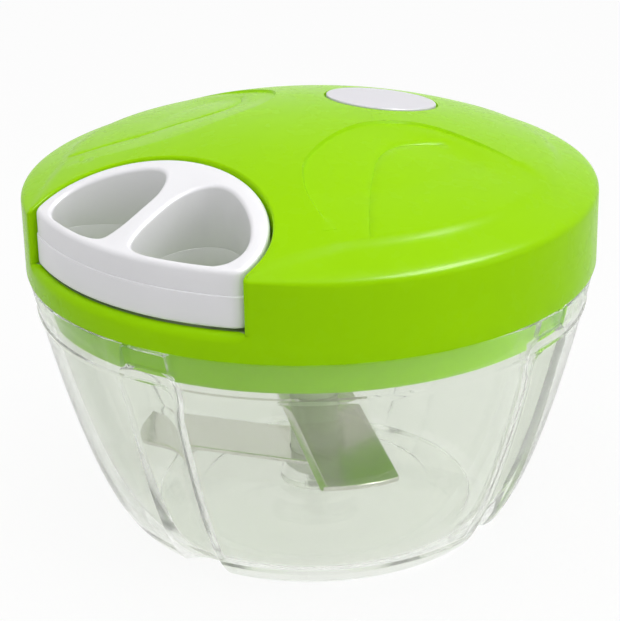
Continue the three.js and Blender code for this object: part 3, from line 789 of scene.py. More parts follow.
def make_cover(sizes, finishes):
    """The lid cover: skirt, shoulder, dome with two leaves and the badge's seat, and the handle's pocket."""
    shell = Shell()
    plan = CoverPlan(sizes.shoulder_width / MM)
    dome = Dome(plan, sizes.leaf_depth / MM)
    arc_count = len(plan.arc)
    outer = [shell.add(row) for row in plan.outer_rows()]
    shell.skin(outer)
    shell.lay(dome.fill, outer[-1], dome.top)

    # Lip in front of the pocket and the skirt's lower part
    lip_angles = spread(plan.last_angle, 2 * math.pi + plan.first_angle, 49)[1:-1]
    lip_rows = [shell.add(plan.lip_row(lip_angles, turn)) for turn in spread(0, math.pi / 2, 6)]
    left_corner = outer[0][arc_count - 1]
    right_corner = outer[0][0]
    for low, high in zip(lip_rows, lip_rows[1:]):
        shell.join([left_corner, *low, right_corner], [left_corner, *high, right_corner], closed=False)
    around = plan.arc + on_circle(LID_RADIUS, lip_angles)
    skirt_levels = [(0, 63.6), (0, 60.9), (0.1, 60.55), (0.35, COVER_BOTTOM)]
    low_rows = [outer[0][:arc_count] + lip_rows[0]]
    for inset, height in skirt_levels:
        scale = (LID_RADIUS - inset) / LID_RADIUS
        low_rows.append(shell.add([(x * scale, y * scale, height) for x, y in around]))
    shell.skin(low_rows)

    # Pocket floor, in paint 1: a dull grey-green that is painted shade under the handle
    floor_rim = lip_rows[-1] + [right_corner] + list(reversed(outer[0][arc_count:])) + [left_corner]
    floor_outline = [shell.points[i][:2] for i in floor_rim]
    floor = Fill(floor_outline, spacing=4)
    shell.paint = 1
    shell.lay(floor, floor_rim, lambda x, y: POCKET_FLOOR)
    shell.paint = 0

    # Inner side
    floor_under = POCKET_FLOOR - LID_WALL
    inner_plan = grown(plan.points, [-LID_WALL] * arc_count + [-POCKET_WALL] * len(plan.wall))
    dome_under = shell.add([(x, y, dome_at(x, y) - LID_WALL) for x, y in plan.tops])
    shell.lay(dome.fill, dome_under, dome.underside)
    shoulder_under = shell.add([(x, y, start - 1) for (x, y), start in zip(inner_plan, plan.starts)])
    low_under = shell.add([(x, y, floor_under) for x, y in inner_plan])
    shell.skin([dome_under, shoulder_under, low_under])
    scale = (LID_RADIUS - LID_WALL) / LID_RADIUS
    lip_under = shell.add([(x, y, floor_under) for x, y in on_circle(LID_RADIUS * scale, lip_angles)])
    bottom_under = shell.add([(x * scale, y * scale, COVER_BOTTOM) for x, y in around])
    shell.skin([low_under[:arc_count] + lip_under, bottom_under, low_rows[-1]])
    under_rim = lip_under + [low_under[0]] + list(reversed(low_under[arc_count:]))
    under_rim.append(low_under[arc_count - 1])
    shell.lay(floor, under_rim, lambda x, y: floor_under)

    # Screw bosses and the axle's boss under the dome
    sunk_into_dome = 1.2
    for centre in screw_centres():
        tube(shell, 1.7, 3.6, 55.7, dome_at(*centre) - sunk_into_dome, 24, centre)
    tube(shell, 3.3, 6, CUP_TOP + 1.6, DOME_HEIGHT - sunk_into_dome, 32)
    # The second material is the pocket floor's painted shade.
    return make_piece("lid_moulding", shell, "lid",
                      [finishes["green"], finishes["pocket"]], ["lid_cover"], sharp=34, sliver=4e-5)


def screw_centres():
    """Places of the four screws that hold the lid's base to its cover."""
    return on_circle(SCREW_CIRCLE, [math.radians(angle) for angle in SCREW_ANGLES])


def badge_outline(margin):
    """The badge's oval, grown by a margin."""
    half_width = BADGE_HALF_WIDTH + margin
    half_depth = BADGE_HALF_DEPTH + margin
    return [(BADGE_CENTRE_X + half_width * math.cos(a), BADGE_CENTRE_Y + half_depth * math.sin(a))
            for a in spread(0, 2 * math.pi, 97)[:-1]]


def make_badge(finishes):
    """The bare oval badge, with a rounded edge that stands a little proud of the dome."""
    shell = Shell()
    levels = [(0, BADGE_FOOT_DEPTH), (0, 0), (0.03, -0.14), (0.12, -0.24), (0.3, -0.29), (0.8, -0.25),
              (1.1, -0.24), (2.5, -0.28)]
    rows = []
    for inset, sink in levels:
        rows.append(shell.add([(x, y, dome_at(x, y) - sink) for x, y in badge_outline(-inset)]))
    centre = Vector((BADGE_CENTRE_X, BADGE_CENTRE_Y))
    for share in (0.75, 0.5, 0.25):
        places = [centre.lerp(Vector(point), share) for point in badge_outline(-levels[-1][0])]
        rows.append(shell.add([(x, y, dome_at(x, y) + BADGE_CROWN) for x, y in places]))
    tip = shell.add([(*centre, dome_at(*centre) + BADGE_CROWN)])
    foot = shell.add([(*centre, dome_at(*centre) - BADGE_FOOT_DEPTH)])
    shell.skin([foot, *rows, tip])
    return make_piece("badge_oval", shell, "lid", [finishes["badge"]], ["name_badge"])


# Handle

def finger_hole(side):
    """One finger hole's outline. side is 1 for the right one and -1 for the left one."""
    knots = [(side * across * HANDLE_HALF_WIDTH, -HANDLE_FRONT + along * HANDLE_LENGTH)
             for across, along in FINGER_HOLE]
    line = flowing(knots, True, 6)
    return line if side > 0 else list(reversed(line))


def handle_walls(shell, outline, away, corner, bottom, top_at, foot_away, foot):
    """Rows of a side wall of the handle, from a softened foot to a rounded top edge."""
    made = []
    for turn in spread(0, math.pi / 2, 4):
        moved = grown(outline, away * foot_away * (1 - math.sin(turn)))
        made.append(shell.add([(x, y, bottom + foot * (1 - math.cos(turn))) for x, y in moved]))
    ends = grown(outline, away * corner)
    for turn in spread(0, math.pi / 2, 7):
        moved = grown(outline, away * corner * (1 - math.cos(turn)))
        made.append(shell.add([(x, y, top_at(*end) - corner * (1 - math.sin(turn)))
                               for (x, y), end in zip(moved, ends)]))
    return made


def close_handle_shell(shell, fill, outer_rows, hole_rows, top_at, bottom_at):
    """Joins the wall rows and lays the upper and lower faces between them."""
    for rows in [outer_rows, *hole_rows]:
        shell.skin(rows)
    for level, height_at in ((-1, top_at), (0, bottom_at)):
        shell.lay(fill, outer_rows[level] + [i for rows in hole_rows for i in rows[level]], height_at)


def make_handle(sizes, finishes):
    """The two white shells of the handle, with rounded rims round the two finger holes, and their screws."""
    right, back, left = pocket_side(HANDLE_FRONT, HANDLE_HALF_WIDTH, HANDLE_DEPTH, -HANDLE_BEND, HANDLE_BEND)
    front_half = math.atan2(right[0][0], -right[0][1])
    front = [(HANDLE_FRONT * math.sin(a), -HANDLE_FRONT * math.cos(a))
             for a in spread(-front_half, front_half, 41)]
    plan = front + right[1:] + back + left[:-1]
    holes = [finger_hole(1), finger_hole(-1)]
    edge = sizes.edge_rounding / MM
    hole_edge = sizes.hole_rounding / MM
    fill = Fill(grown(plan, -edge), [grown(hole, hole_edge) for hole in holes], spacing=2.2)

    def crown(x, y):
        return dome_at(x, y) - HANDLE_SINK

    def parting(x, y):
        return HANDLE_PARTING

    def underside(x, y):
        return HANDLE_BOTTOM

    upper = Shell()
    outer_rows = handle_walls(upper, plan, -1, edge, HANDLE_PARTING, crown, 0.03, 0.03)
    hole_rows = [handle_walls(upper, hole, 1, hole_edge, HANDLE_PARTING, crown, 0.05, 0.05) for hole in holes]
    close_handle_shell(upper, fill, outer_rows, hole_rows, crown, parting)
    make_piece("handle_upper_shell", upper, "handle", [finishes["white"]], ["handle_top"])

    lower = Shell()
    proud = grown(plan, 0.2)
    outer_rows = handle_walls(lower, proud, -1, 0.22, HANDLE_BOTTOM, parting, 0.8, 0.8)
    hole_rows = [handle_walls(lower, hole, 1, 0.05, HANDLE_BOTTOM, parting, 0.6, 0.6) for hole in holes]
    close_handle_shell(lower, fill, outer_rows, hole_rows, parting, underside)
    make_piece("handle_lower_shell", lower, "handle", [finishes["white"]], ["handle_bottom"])

    proud_of_bottom = 0.25
    for place, x, y in HANDLE_SCREWS:
        shell = screw_shell((x, y), HANDLE_BOTTOM - proud_of_bottom, 1.1, 2.1, 1.1, 8.4)
        make_piece(f"handle_fixing_{place}", shell, "handle", [finishes["steel"]],
                   [f"handle_screw_{place}"])


def screw_shell(centre, bottom, radius, head_radius, head_height, length):
    """A pan-headed screw standing head down, with a slot in its head and a coarse thread."""
    shell = Shell()
    profile = [(head_radius * 0.8, bottom), (head_radius * 0.95, bottom + head_height * 0.18),
               (head_radius, bottom + head_height * 0.5), (head_radius, bottom + head_height),
               (radius, bottom + head_height)]
    height = bottom + head_height + 0.6
    pitch = 1.0
    while height + pitch < bottom + length:
        profile += [(radius * 0.78, height), (radius, height + pitch * 0.4),
                    (radius * 0.78, height + pitch * 0.8)]
        height += pitch
    profile += [(radius * 0.7, height), (0, bottom + length)]
    rows = turn_profile(shell, profile, 32, centre, looped=False)
    face_outline = [shell.points[i][:2] for i in rows[0]]
    half_length = head_radius * 0.62
    half_width = head_radius * 0.13
    slots = []
    for margin in (0.06, 0):
        x_reach = half_length + margin
        y_reach = half_width + margin
        slots.append([(centre[0] + x * x_reach, centre[1] + y * y_reach)
                      for x, y in ((-1, -1), (1, -1), (1, 1), (-1, 1))])
    lines = [(slot, True) for slot in slots]
    fill = Fill(face_outline, lines=lines, spacing=head_radius * 0.6, clear=0.4)
    depth = head_height * 0.45

    def face_height(x, y):
        into = max(abs(x - centre[0]) - half_length, abs(y - centre[1]) - half_width)
        return bottom + (depth if into < 0.03 else 0)

    shell.lay(fill, rows[0], face_height)
    return shell


# Bowl

def fluted(wall, centre, radius, angle):
    """Distance from the axis to a wall that a flute bulges into, at an angle from the flute's middle."""
    if radius <= 0:
        return wall
    reach = radius ** 2 - (centre * math.sin(angle)) ** 2
    if reach <= 0:
        return wall
    return min(wall, centre * math.cos(angle) - math.sqrt(reach))


def flute_half_angle(wall, centre, radius):
    """Half the angle that a flute takes up on a wall."""
    if radius <= 0 or centre - radius >= wall:
        return 0.0
    return math.acos(min(1, (centre ** 2 + wall ** 2 - radius ** 2) / (2 * centre * wall)))


def bowl_row(wall, height, flute, depth, lug=0.0):
    """One row of the bowl's wall. Its columns crowd between the edges of the flutes."""
    centre = bowl_radius(min(height, FLUTE_TOP)) + FLUTE_RADIUS - depth
    radius = flute
    if height > FLUTE_TOP:
        left = flute ** FLUTE_TOP_POWER - (height - FLUTE_TOP) ** FLUTE_TOP_POWER
        radius = max(left, 0) ** (1 / FLUTE_TOP_POWER)
    edge = max(flute_half_angle(wall, centre, radius), math.asin(LUG_HALF_WIDTH / wall))
    step = 0.3 / wall
    across = spread(-edge, edge, FLUTE_COLUMNS + 1)
    between = spread(edge + step, math.pi / 2 - edge - step, WALL_COLUMNS)
    row = []
    for quarter in range(FLUTE_COUNT):
        start = BOWL_TURN + quarter * math.pi / 2
        for angle in across + between:
            reach = fluted(wall, centre, radius, angle) if abs(angle) < math.pi / 4 else wall
            if angle in across:
                reach -= lug
            row.append((reach * math.cos(start + angle), reach * math.sin(start + angle), height))
    return row


def make_bowl(sizes, finishes):
    """The clear bowl, with four flutes, a foot ring, the spindle's boss and lock lugs in its collar."""
    shell = Shell()
    depth = sizes.flute_depth / MM
    outside = [0, 0.03, 0.12, 0.3, 0.6, 1, 1.6, 2.4, 3.4, 4.8, 6.6, 9, 12, 15.5, 19, 23, 27, 31, 35, 39, 42,
               44, 45, 46, 47, 48, 49, 49.7, 50.3, 50.8, 51.2, *COLLAR_BEAD_HEIGHTS, 52.6, 54, 56, 58, 59.4,
               59.7]
    inside = [59.7, 58.9, LUG_TOP + 0.25, LUG_TOP, 56.6, LUG_BOTTOM, LUG_BOTTOM - 0.25, 53.6, 53, 52.5, 52,
              51.4, 50.6, 49.6, 48.4, 47, 45.5, 44, 41, 37, 33, 29, 25, 21, 17, 13.5, 10.5, 8.2, 6.6, 5.4,
              4.6, 4, 3.6, 3.3, 3.12, 3.03, 3]

    def round_row(radius, height, angles):
        return shell.add([(x, y, height) for x, y in on_circle(radius, angles)])

    # Underside and outer wall
    foot = bowl_row(FOOT_RADIUS, 0, FLUTE_RADIUS, depth)
    angles = [math.atan2(y, x) for x, y, _ in foot]
    foot_rings = [(14, FOOT_RECESS), (FOOT_RING_INNER - 0.7, FOOT_RECESS), (FOOT_RING_INNER - 0.25, 0.8),
                  (FOOT_RING_INNER, 0.15), (FOOT_RING_INNER + 0.2, 0)]
    rows = [shell.add([(0, 0, FOOT_RECESS)])]
    rows += [round_row(radius, height, angles) for radius, height in foot_rings]
    for height in outside:
        bead = COLLAR_BEAD if height in COLLAR_BEAD_HEIGHTS else 0
        rows.append(shell.add(bowl_row(bowl_radius(height) + bead, height, FLUTE_RADIUS, depth)))

    # Rim and inner wall
    rim = bowl_row(RIM_RADIUS, BOWL_HEIGHT, 0, depth)
    for radius, height in ((62.1, 59.95), (61.85, BOWL_HEIGHT), (60.55, BOWL_HEIGHT), (60.3, 59.95)):
        scale = radius / RIM_RADIUS
        rows.append(shell.add([(x * scale, y * scale, height) for x, y, _ in rim]))
    for height in inside:
        is_lug = LUG_BOTTOM <= height <= LUG_TOP
        lug = LUG_PROTRUSION if is_lug else 0
        wall = bowl_inside(height)
        rows.append(shell.add(bowl_row(wall, height, FLUTE_RADIUS + BOWL_WALL, depth, lug)))

    # Floor, where the fluted wall gives way to round rings, and the spindle's boss
    last = bowl_row(bowl_inside(BOWL_FLOOR), BOWL_FLOOR, FLUTE_RADIUS + BOWL_WALL, depth)
    round_from = 28
    for share in (0.88, 0.7, 0.45, 0.2, 0.0):
        row = []
        for x, y, _ in last:
            reach = math.hypot(x, y)
            radius = round_from + (reach - round_from) * share
            row.append((x * radius / reach, y * radius / reach, BOWL_FLOOR))
        rows.append(shell.add(row))
    floor_rings = [(27.7, 3.22), (26.3, 3.22), (26, BOWL_FLOOR), (19, BOWL_FLOOR), (18.7, 3.18),
                   (17.6, 3.18), (17.3, BOWL_FLOOR), (10.4, BOWL_FLOOR), (9.9, 3.15), (8.1, 4.9),
                   (BOSS_RADIUS, 5.2), (BOSS_RADIUS, 6.6), (7.6, BOSS_TOP), (2.7, BOSS_TOP),
                   (PIN_BORE, 6.7), (PIN_BORE, BORE_FLOOR)]
    angles = [math.atan2(y, x) for x, y, _ in last]
    rows += [round_row(radius, height, angles) for radius, height in floor_rings]
    rows.append(shell.add([(0, 0, BORE_FLOOR)]))
    shell.skin(rows)
    make_piece("bowl_clear", shell, "bowl", [finishes["clear"]], ["bowl"], sharp=36)

    pin = Shell()
    turn_profile(pin, [(0, 2.8), (2, 2.8), (2, 21.2), (1.85, 21.9), (1.4, 22.5), (0.8, 22.8), (0, 22.8)], 32,
                 looped=False)
    make_piece("spindle", pin, "bowl", [finishes["steel"]], ["spindle_pin"])


# Blades

def make_post(finishes):
    """The blade shaft: a tube with a collar under each blade and a hexagonal key at its top."""
    post = Shell()
    post_bottom = 7.3
    post_top = 48.5
    key_bottom = 46.5
    key_top = 55
    corners = [(2.3, post_bottom, 0.2), (POST_RADIUS, post_bottom, 0.5)]
    for _, height, _ in BLADES:
        top = height - 0.8
        low = top - 2.5
        corners += [(POST_RADIUS, low, 0.3), (COLLAR_RADIUS, low, 0.4), (COLLAR_RADIUS, top, 0.25),
                    (POST_RADIUS, top, 0.2)]
    corners += [(POST_RADIUS, post_top, 0.6), (2.5, post_top, 0), (2.5, 23.1, 0), (2.3, 23.1, 0)]
    turn_profile(post, softened(corners), 48)
    key_rows = []
    for height, scale in ((key_bottom, 1), (54.4, 1), (54.8, 0.96), (key_top, 0.85)):
        key_rows.append(post.add([(x * scale, y * scale, height) for x, y in circle(3.7, 6)]))
    ends = post.add([(0, 0, key_bottom), (0, 0, key_top)])
    post.skin([[ends[0]], *key_rows, [ends[1]]])
    make_piece("blade_post", post, "blades", [finishes["post"]], ["blade_shaft"])


def blade_outline(reach):
    """A blade seen from above: cutting edge, rounded tip, spine and round root."""
    half = BLADE_HALF_WIDTH
    edge = [(x, -half) for x in spread(0, reach - 1.6, 14)]
    tip = bend(edge[-1], (reach - 0.7, -half), (reach - 0.65, -half + 0.9), 4)[1:]
    tip += [(reach - 0.15, -half / 2), (reach, 0), (reach - 0.4, half / 2)]
    tip += bend((reach - 1.2, half - 1.2), (reach - 1.4, half), (reach - 2.6, half), 4)
    spine = [(x, half) for x in spread(reach - 2.6, 0, 14)[1:]]
    root = on_circle(half, spread(math.pi / 2, 3 * math.pi / 2, 15)[1:-1])
    return edge + tip + spine + root


def make_blade(name, height, degrees, grind, finishes):
    """One ground blade with a rounded root and a bore for the shaft."""
    shell = Shell()
    outline = blade_outline(bowl_radius(height) - BLADE_TIP_ROOM)
    grind_from = 6
    grind_fade = 6
    ground = []
    for x, y in outline:
        on_edge = y < -BLADE_HALF_WIDTH + 0.5 and x >= 0
        fade = smooth_step((x - grind_from) / grind_fade) if on_edge else 0
        ground.append((x, y + grind * fade))
    hole = circle(POST_RADIUS + 0.3, 36)
    fill = Fill(grown(ground, -0.12), [hole], spacing=3.2)
    low = height - BLADE_HALF_THICKNESS
    high = height + BLADE_HALF_THICKNESS
    turn = Matrix.Rotation(math.radians(degrees), 2)

    def placed(points, z):
        return [(*(turn @ Vector(point)), z) for point in points]

    levels = [(grown(outline, -0.1), low), (outline, low + 0.1), (outline, low + 0.22), (ground, high - 0.12),
              (grown(ground, -0.12), high)]
    rows = [shell.add(placed(points, z)) for points, z in levels]
    shell.skin(rows)
    bore = [shell.add(placed(hole, z)) for z in (low, high)]
    shell.skin(bore)
    for rim, z in ((rows[-1] + bore[1], high), (rows[0] + bore[0], low)):
        table = rim + shell.add(placed(fill.inside, z))
        for corners in fill.triangles:
            shell.face(*(table[i] for i in corners))
    make_piece(f"{name}_ground_blade", shell, "blades", [finishes["blade"]],
               [f"{name}_blade"])


# Lid base and seal

def base_angles():
    """Column angles of the lid base, crowded at the edges of the four lug slots."""
    angles = []
    first = math.radians(-7.2)
    last = math.radians(6.0)
    step = 0.25 / BASE_SKIRT
    for quarter in range(FLUTE_COUNT):
        start = BOWL_TURN + quarter * math.pi / 2
        angles += [(start + a, True) for a in spread(first, last, 11)]
        angles += [(start + a, False) for a in spread(last + step, math.pi / 2 + first - step, 40)]
    return angles


def make_base(finishes):
    """The green base that closes the bowl, with slots for the lock lugs and sunk screws, and its seal."""
    shell = Shell()
    columns = base_angles()

    def row(radius, height, slot):
        reaches = [(radius - slot * is_slot, a) for a, is_slot in columns]
        return shell.add([(reach * math.cos(a), reach * math.sin(a), height) for reach, a in reaches])

    slot_depth = 1.5
    bearing = 7.3
    bearing_sides = 48
    collar_outer = 10.8
    collar_top = 56.7
    inner = 55.4
    lip_bottom = 60.7
    lip_top = 62.3
    levels = [(inner + 0.2, BASE_BOTTOM + 0.3, 0), (55.9, BASE_BOTTOM, 0), (57.6, BASE_BOTTOM, slot_depth),
              (57.9, BASE_BOTTOM + 0.12, slot_depth), (BASE_SKIRT, BASE_BOTTOM + 0.45, slot_depth),
              (BASE_SKIRT, 58.45, slot_depth), (BASE_SKIRT, 58.7, 0), (BASE_SKIRT, lip_bottom, 0),
              (60.05, lip_bottom, 0), (60.2, lip_bottom + 0.15, 0), (60.2, lip_top - 0.1, 0),
              (60.05, lip_top, 0), (inner, lip_top, 0), (inner, BASE_TOP, 0)]
    skirt = [row(*level) for level in levels]
    shell.skin(skirt)
    inner_under = row(inner, BASE_PLATE, 0)
    shell.join(inner_under, skirt[0])
    bearing_rings = [(bearing, BASE_PLATE), (bearing, collar_top), (collar_outer - 0.2, collar_top),
                     (collar_outer, collar_top - 0.2), (collar_outer, BASE_TOP)]
    collar = [shell.add([(x, y, z) for x, y in circle(radius, bearing_sides)]) for radius, z in bearing_rings]
    shell.skin(collar)
    outline = [shell.points[i][:2] for i in inner_under]
    seat_rim = 3.45
    seat_foot = 3.2
    seat_height = 54.6
    lines = []
    for centre in screw_centres():
        lines += [(circle(radius, 28, centre), True) for radius in (seat_rim, seat_foot)]
    lines += [(circle(radius, 96), True) for radius in (20, 20.4, 38, 38.4)]
    under = Fill(outline, [circle(bearing, bearing_sides)], lines=lines, spacing=4, clear=0.3)

    def under_height(x, y):
        """The plate's underside, with sunk screw seats and a shallow ring-shaped step."""
        for centre in screw_centres():
            if math.hypot(x - centre[0], y - centre[1]) < (seat_rim + seat_foot) / 2:
                return seat_height
        return BASE_PLATE + (0.25 if 20.2 < math.hypot(x, y) < 38.2 else 0)

    shell.lay(under, inner_under + collar[0], under_height)
    top_outline = [shell.points[i][:2] for i in skirt[-1]]
    over = Fill(top_outline, [circle(collar_outer, bearing_sides)], spacing=6)
    shell.lay(over, skirt[-1] + collar[-1], lambda x, y: BASE_TOP)
    make_piece("base_moulding", shell, "lid", [finishes["base_green"]], ["lid_base"])

    seal = Shell()
    profile = softened([(58.3, 59.1, 0.3), (59.5, 59.1, 0.4), (59.6, 59.75, 0.3), (59.5, 60.4, 0.4),
                        (58.3, 60.4, 0.3)], steps=3)
    turn_profile(seal, profile, 160)
    make_piece("rim_seal", seal, "lid", [finishes["silicone"]], ["seal_ring"])
    for number, centre in enumerate(screw_centres(), 1):
        shell = screw_shell(centre, BASE_BOTTOM + 0.05, 1.4, 2.9, 1.8, 14)
        make_piece(f"lid_fixing_{number}", shell, "lid", [finishes["steel"]],
                   [f"lid_screw_{number}"])


# Reel, spring and cord

def make_reel(finishes):
    """The cord reel: drive socket, drum between two flanges and the cup for the spring, in one moulding."""
    reel = Shell()
    flange = 26
    hub = 10
    drum = 16
    bore = 3.3
    corners = [(4.7, 48.8, 0.3), (7, 48.8, 0.4), (7, 57, 0.3), (hub, 57, 0.4), (hub, 69.7, 0.4),
               (flange, 69.7, 0.4), (flange, 70.9, 0.4), (drum, 70.9, 0.4), (drum, 76.7, 0.4),
               (flange, 76.7, 0.4), (flange, CUP_TOP, 0.4), (24.4, CUP_TOP, 0.3), (24.4, 77.9, 0.5),
               (bore, 77.9, 0.3), (bore, 68.2, 0), (bore, 55.3, 0), (4.7, 55.3, 0)]
    turn_profile(reel, softened(corners, steps=3), 72)
    make_piece("reel_moulding", reel, "reel", [finishes["grey"]], ["cord_reel"])


def make_coil(finishes):
    """The cord on the drum: two turns up, a step outwards, and two turns down over them."""
    coil = Shell()
    inner = 17.25
    step_out = 1.75
    step_parts = 8
    low = 72.15
    high = 75.45
    per_turn = 48
    turns = 2
    count = turns * per_turn
    advance = 2 * math.pi / per_turn
    path = [(inner, advance * i, low + (high - low) * i / count) for i in range(count + 1)]
    for i in range(1, step_parts + 1):
        path.append((inner + step_out * i / step_parts, path[-1][1] + advance, high))
    for i in range(1, count + 1):
        path.append((inner + step_out, path[-1][1] + advance, high + (low - high) * i / count))
    sweep(coil, [(r * math.cos(a), r * math.sin(a), z) for r, a, z in path], COIL_CORD_RADIUS, 10)
    make_piece("coiled_cord", coil, "reel", [finishes["cord"]], ["cord_winding"])


def make_axle(finishes):
    """The fixed steel pin that the reel turns on."""
    axle = Shell()
    flange = CUP_TOP + 0.3
    top = DOME_HEIGHT - LID_WALL - 0.3
    corners = [(0, 68.5, 0), (3, 68.5, 0.4), (3, flange, 0.1), (5, flange, 0.2), (5, flange + 1, 0.2),
               (3, flange + 1, 0.1), (3, top, 0.3), (0, top, 0)]
    turn_profile(axle, softened(corners, closed=False, steps=3), 40, looped=False)
    make_piece("axle_pin", axle, "lid", [finishes["steel"]], ["reel_axle"])


def make_spring(finishes):
    """The flat spiral spring that winds the cord back."""
    spring = Shell()
    half = 0.22
    bottom = 78.3
    top = CUP_TOP - 2.8
    inner = 3.9
    outer = 23.5
    turns = 5
    count = turns * 56
    rows = []
    for i in range(count + 1):
        angle = 2 * math.pi * turns * (i / count)
        radius = inner + (outer - inner) * (i / count)
        ring = [(radius - half, bottom), (radius + half, bottom), (radius + half, top), (radius - half, top)]
        rows.append(spring.add([(r * math.cos(angle), r * math.sin(angle), z) for r, z in ring]))
    spring.skin(rows)
    spring.face(*rows[0])
    spring.face(*rows[-1])
    make_piece("spiral_spring", spring, "lid", [finishes["steel"]], ["rewind_spring"])


def make_disc(finishes):
    """The disc that covers the spring in the reel's cup."""
    disc = Shell()
    low = CUP_TOP - 1
    sunk = CUP_TOP - 0.3
    corners = [(3.3, low, 0.15), (24.1, low, 0.2), (24.1, CUP_TOP, 0.3), (20, CUP_TOP, 0.3), (19, sunk, 0.3),
               (8, sunk, 0.3), (7, CUP_TOP, 0.3), (3.3, CUP_TOP, 0.15)]
    turn_profile(disc, softened(corners, steps=3), 64)
    make_piece("spring_disc", disc, "reel", [finishes["grey"]], ["spring_cover"])


def make_guide(finishes):
    """The eyelet that the cord passes in the pocket's back wall."""
    guide = Shell()
    corners = [(1.2, 30.3, 0.3), (2.4, 30.3, 0.2), (2.4, 28.4, 0.1), (3.4, 28.4, 0.2), (3.4, 27.4, 0.3),
               (1.2, 27.4, 0.5)]
    rows = []
    for radius, along in softened(corners, steps=3):
        rows.append(guide.add([(x, -along, CORD_HEIGHT + z) for x, z in circle(radius, 36)]))
    guide.skin(rows, looped=True)
    make_piece("cord_eyelet", guide, "lid", [finishes["grey"]], ["cord_guide"])


def make_cord(finishes):
    """The cord from the winding through the eyelet into the handle, and the knot that holds it there."""
    shell = Shell()
    leave_radius = 21.2
    bend_y = -25.6
    angle = math.acos(leave_radius / -bend_y)
    leave = Vector((leave_radius * math.sin(angle), -leave_radius * math.cos(angle), CORD_HEIGHT))
    corner = Vector((0, bend_y, CORD_HEIGHT))
    bend_run = 1.5
    start = corner + (leave - corner).normalized() * bend_run
    path = [leave, leave.lerp(start, 0.5)]
    path += [Vector(point) for point in bend(start, corner, corner - Vector((0, bend_run, 0)), 6)]
    across_gap = spread(POCKET_BACK_Y, HANDLE_BACK_Y, 7)
    path += [Vector((0, y, CORD_HEIGHT)) for y in (-28.5, -30, *across_gap, -33.5, -36, KNOT_Y + 1.6)]
    sweep(shell, path, CORD_RADIUS * 0.96, 14)
    knot = []
    loop_size = 0.42 * 0.85
    for t in spread(0, 2 * math.pi, 73)[:-1]:
        knot.append((loop_size * (math.sin(t) + 2 * math.sin(2 * t)),
                     KNOT_Y + loop_size * (math.cos(t) - 2 * math.cos(2 * t)),
                     CORD_HEIGHT - 0.55 * math.sin(3 * t)))
    sweep(shell, knot, KNOT_CORD_RADIUS, 10, closed=True)
    piece = make_piece("pull_cord", shell, None, [finishes["cord"]], ["cord_lead", "cord_end"])
    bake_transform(piece)


# Stage

def make_camera():
    """The camera at the photograph's angle."""
    position = Vector((0, -math.cos(CAMERA_ELEVATION), math.sin(CAMERA_ELEVATION))) * CAMERA_DISTANCE
    ahead = Vector((0, math.cos(CAMERA_ELEVATION), -math.sin(CAMERA_ELEVATION)))
    right = Vector((1, 0, 0))
    up = right.cross(ahead)
    pan = Matrix.Rotation(CAMERA_PAN, 3, up)
    ahead, right = pan @ ahead, pan @ right
    tilt = Matrix.Rotation(CAMERA_TILT, 3, right)
    ahead, up = tilt @ ahead, tilt @ up
    roll = Matrix.Rotation(CAMERA_ROLL, 3, ahead)
    right, up = roll @ right, roll @ up
    spin = Matrix.Rotation(CAMERA_SPIN, 3, "Z")
    turned = Matrix((spin @ right, spin @ up, spin @ -ahead)).transposed()
    data = bpy.data.cameras.new("view")
    data.sensor_width = SENSOR_LONG_SIDE
    data.lens = FOCAL_PIXELS / PICTURE_LONG_SIDE * SENSOR_LONG_SIDE
    camera = bpy.data.objects.new("view", data)
    camera.matrix_world = Matrix.Translation(spin @ position) @ turned.to_4x4()
    bpy.context.scene.collection.objects.link(camera)
    bpy.context.scene.camera = camera


def add_lamp(name, azimuth, elevation, distance, width, height, power):
    """A soft rectangular lamp that faces the dicer. Azimuth 0 is on the handle's side."""
    data = bpy.data.lights.new(name, "AREA")
    data.shape = "RECTANGLE"
    data.size = width
    data.size_y = height
    data.energy = power
    lamp = bpy.data.objects.new(name, data)
    side, rise = math.radians(azimuth), math.radians(elevation)
    away = Vector((math.sin(side) * math.cos(rise), -math.cos(side) * math.cos(rise), math.sin(rise)))
    lamp.location = Vector(LAMP_AIM) + away * distance
    lamp.rotation_mode = "QUATERNION"
    lamp.rotation_quaternion = away.to_track_quat("Z", "Y")
    bpy.context.scene.collection.objects.link(lamp)
    return lamp


def seen_directly(nodes, links):
    """One where a ray comes from the camera, a reflection or clear plastic, and nought elsewhere."""
    path = nodes.new("ShaderNodeLightPath")
    first, second = nodes.new("ShaderNodeMath"), nodes.new("ShaderNodeMath")
    first.operation = second.operation = "MAXIMUM"
    links.new(path.outputs["Is Camera Ray"], first.inputs[0])
    links.new(path.outputs["Is Glossy Ray"], first.inputs[1])
    links.new(first.outputs[0], second.inputs[0])
    links.new(path.outputs["Is Transmission Ray"], second.inputs[1])
    return second.outputs[0]


def make_world(sizes):
    """An even soft light all round, which shows as plain white where it is seen directly."""
    world = bpy.data.worlds.new("studio")
    bpy.context.scene.world = world
    world.use_nodes = True
    nodes, links = world.node_tree.nodes, world.node_tree.links
    soft = next(node for node in nodes if node.type == "BACKGROUND")
    soft.inputs["Color"].default_value = (1, 1, 1, 1)
    soft.inputs["Strength"].default_value = sizes.sky_light
    white = nodes.new("ShaderNodeBackground")
    white.inputs["Color"].default_value = (1, 1, 1, 1)
    white.inputs["Strength"].default_value = 1
    mix = nodes.new("ShaderNodeMixShader")
    links.new(seen_directly(nodes, links), mix.inputs[0])
    links.new(soft.outputs[0], mix.inputs[1])
    links.new(white.outputs[0], mix.inputs[2])
    out = next(node for node in nodes if node.type == "OUTPUT_WORLD")
    links.new(mix.outputs[0], out.inputs["Surface"])


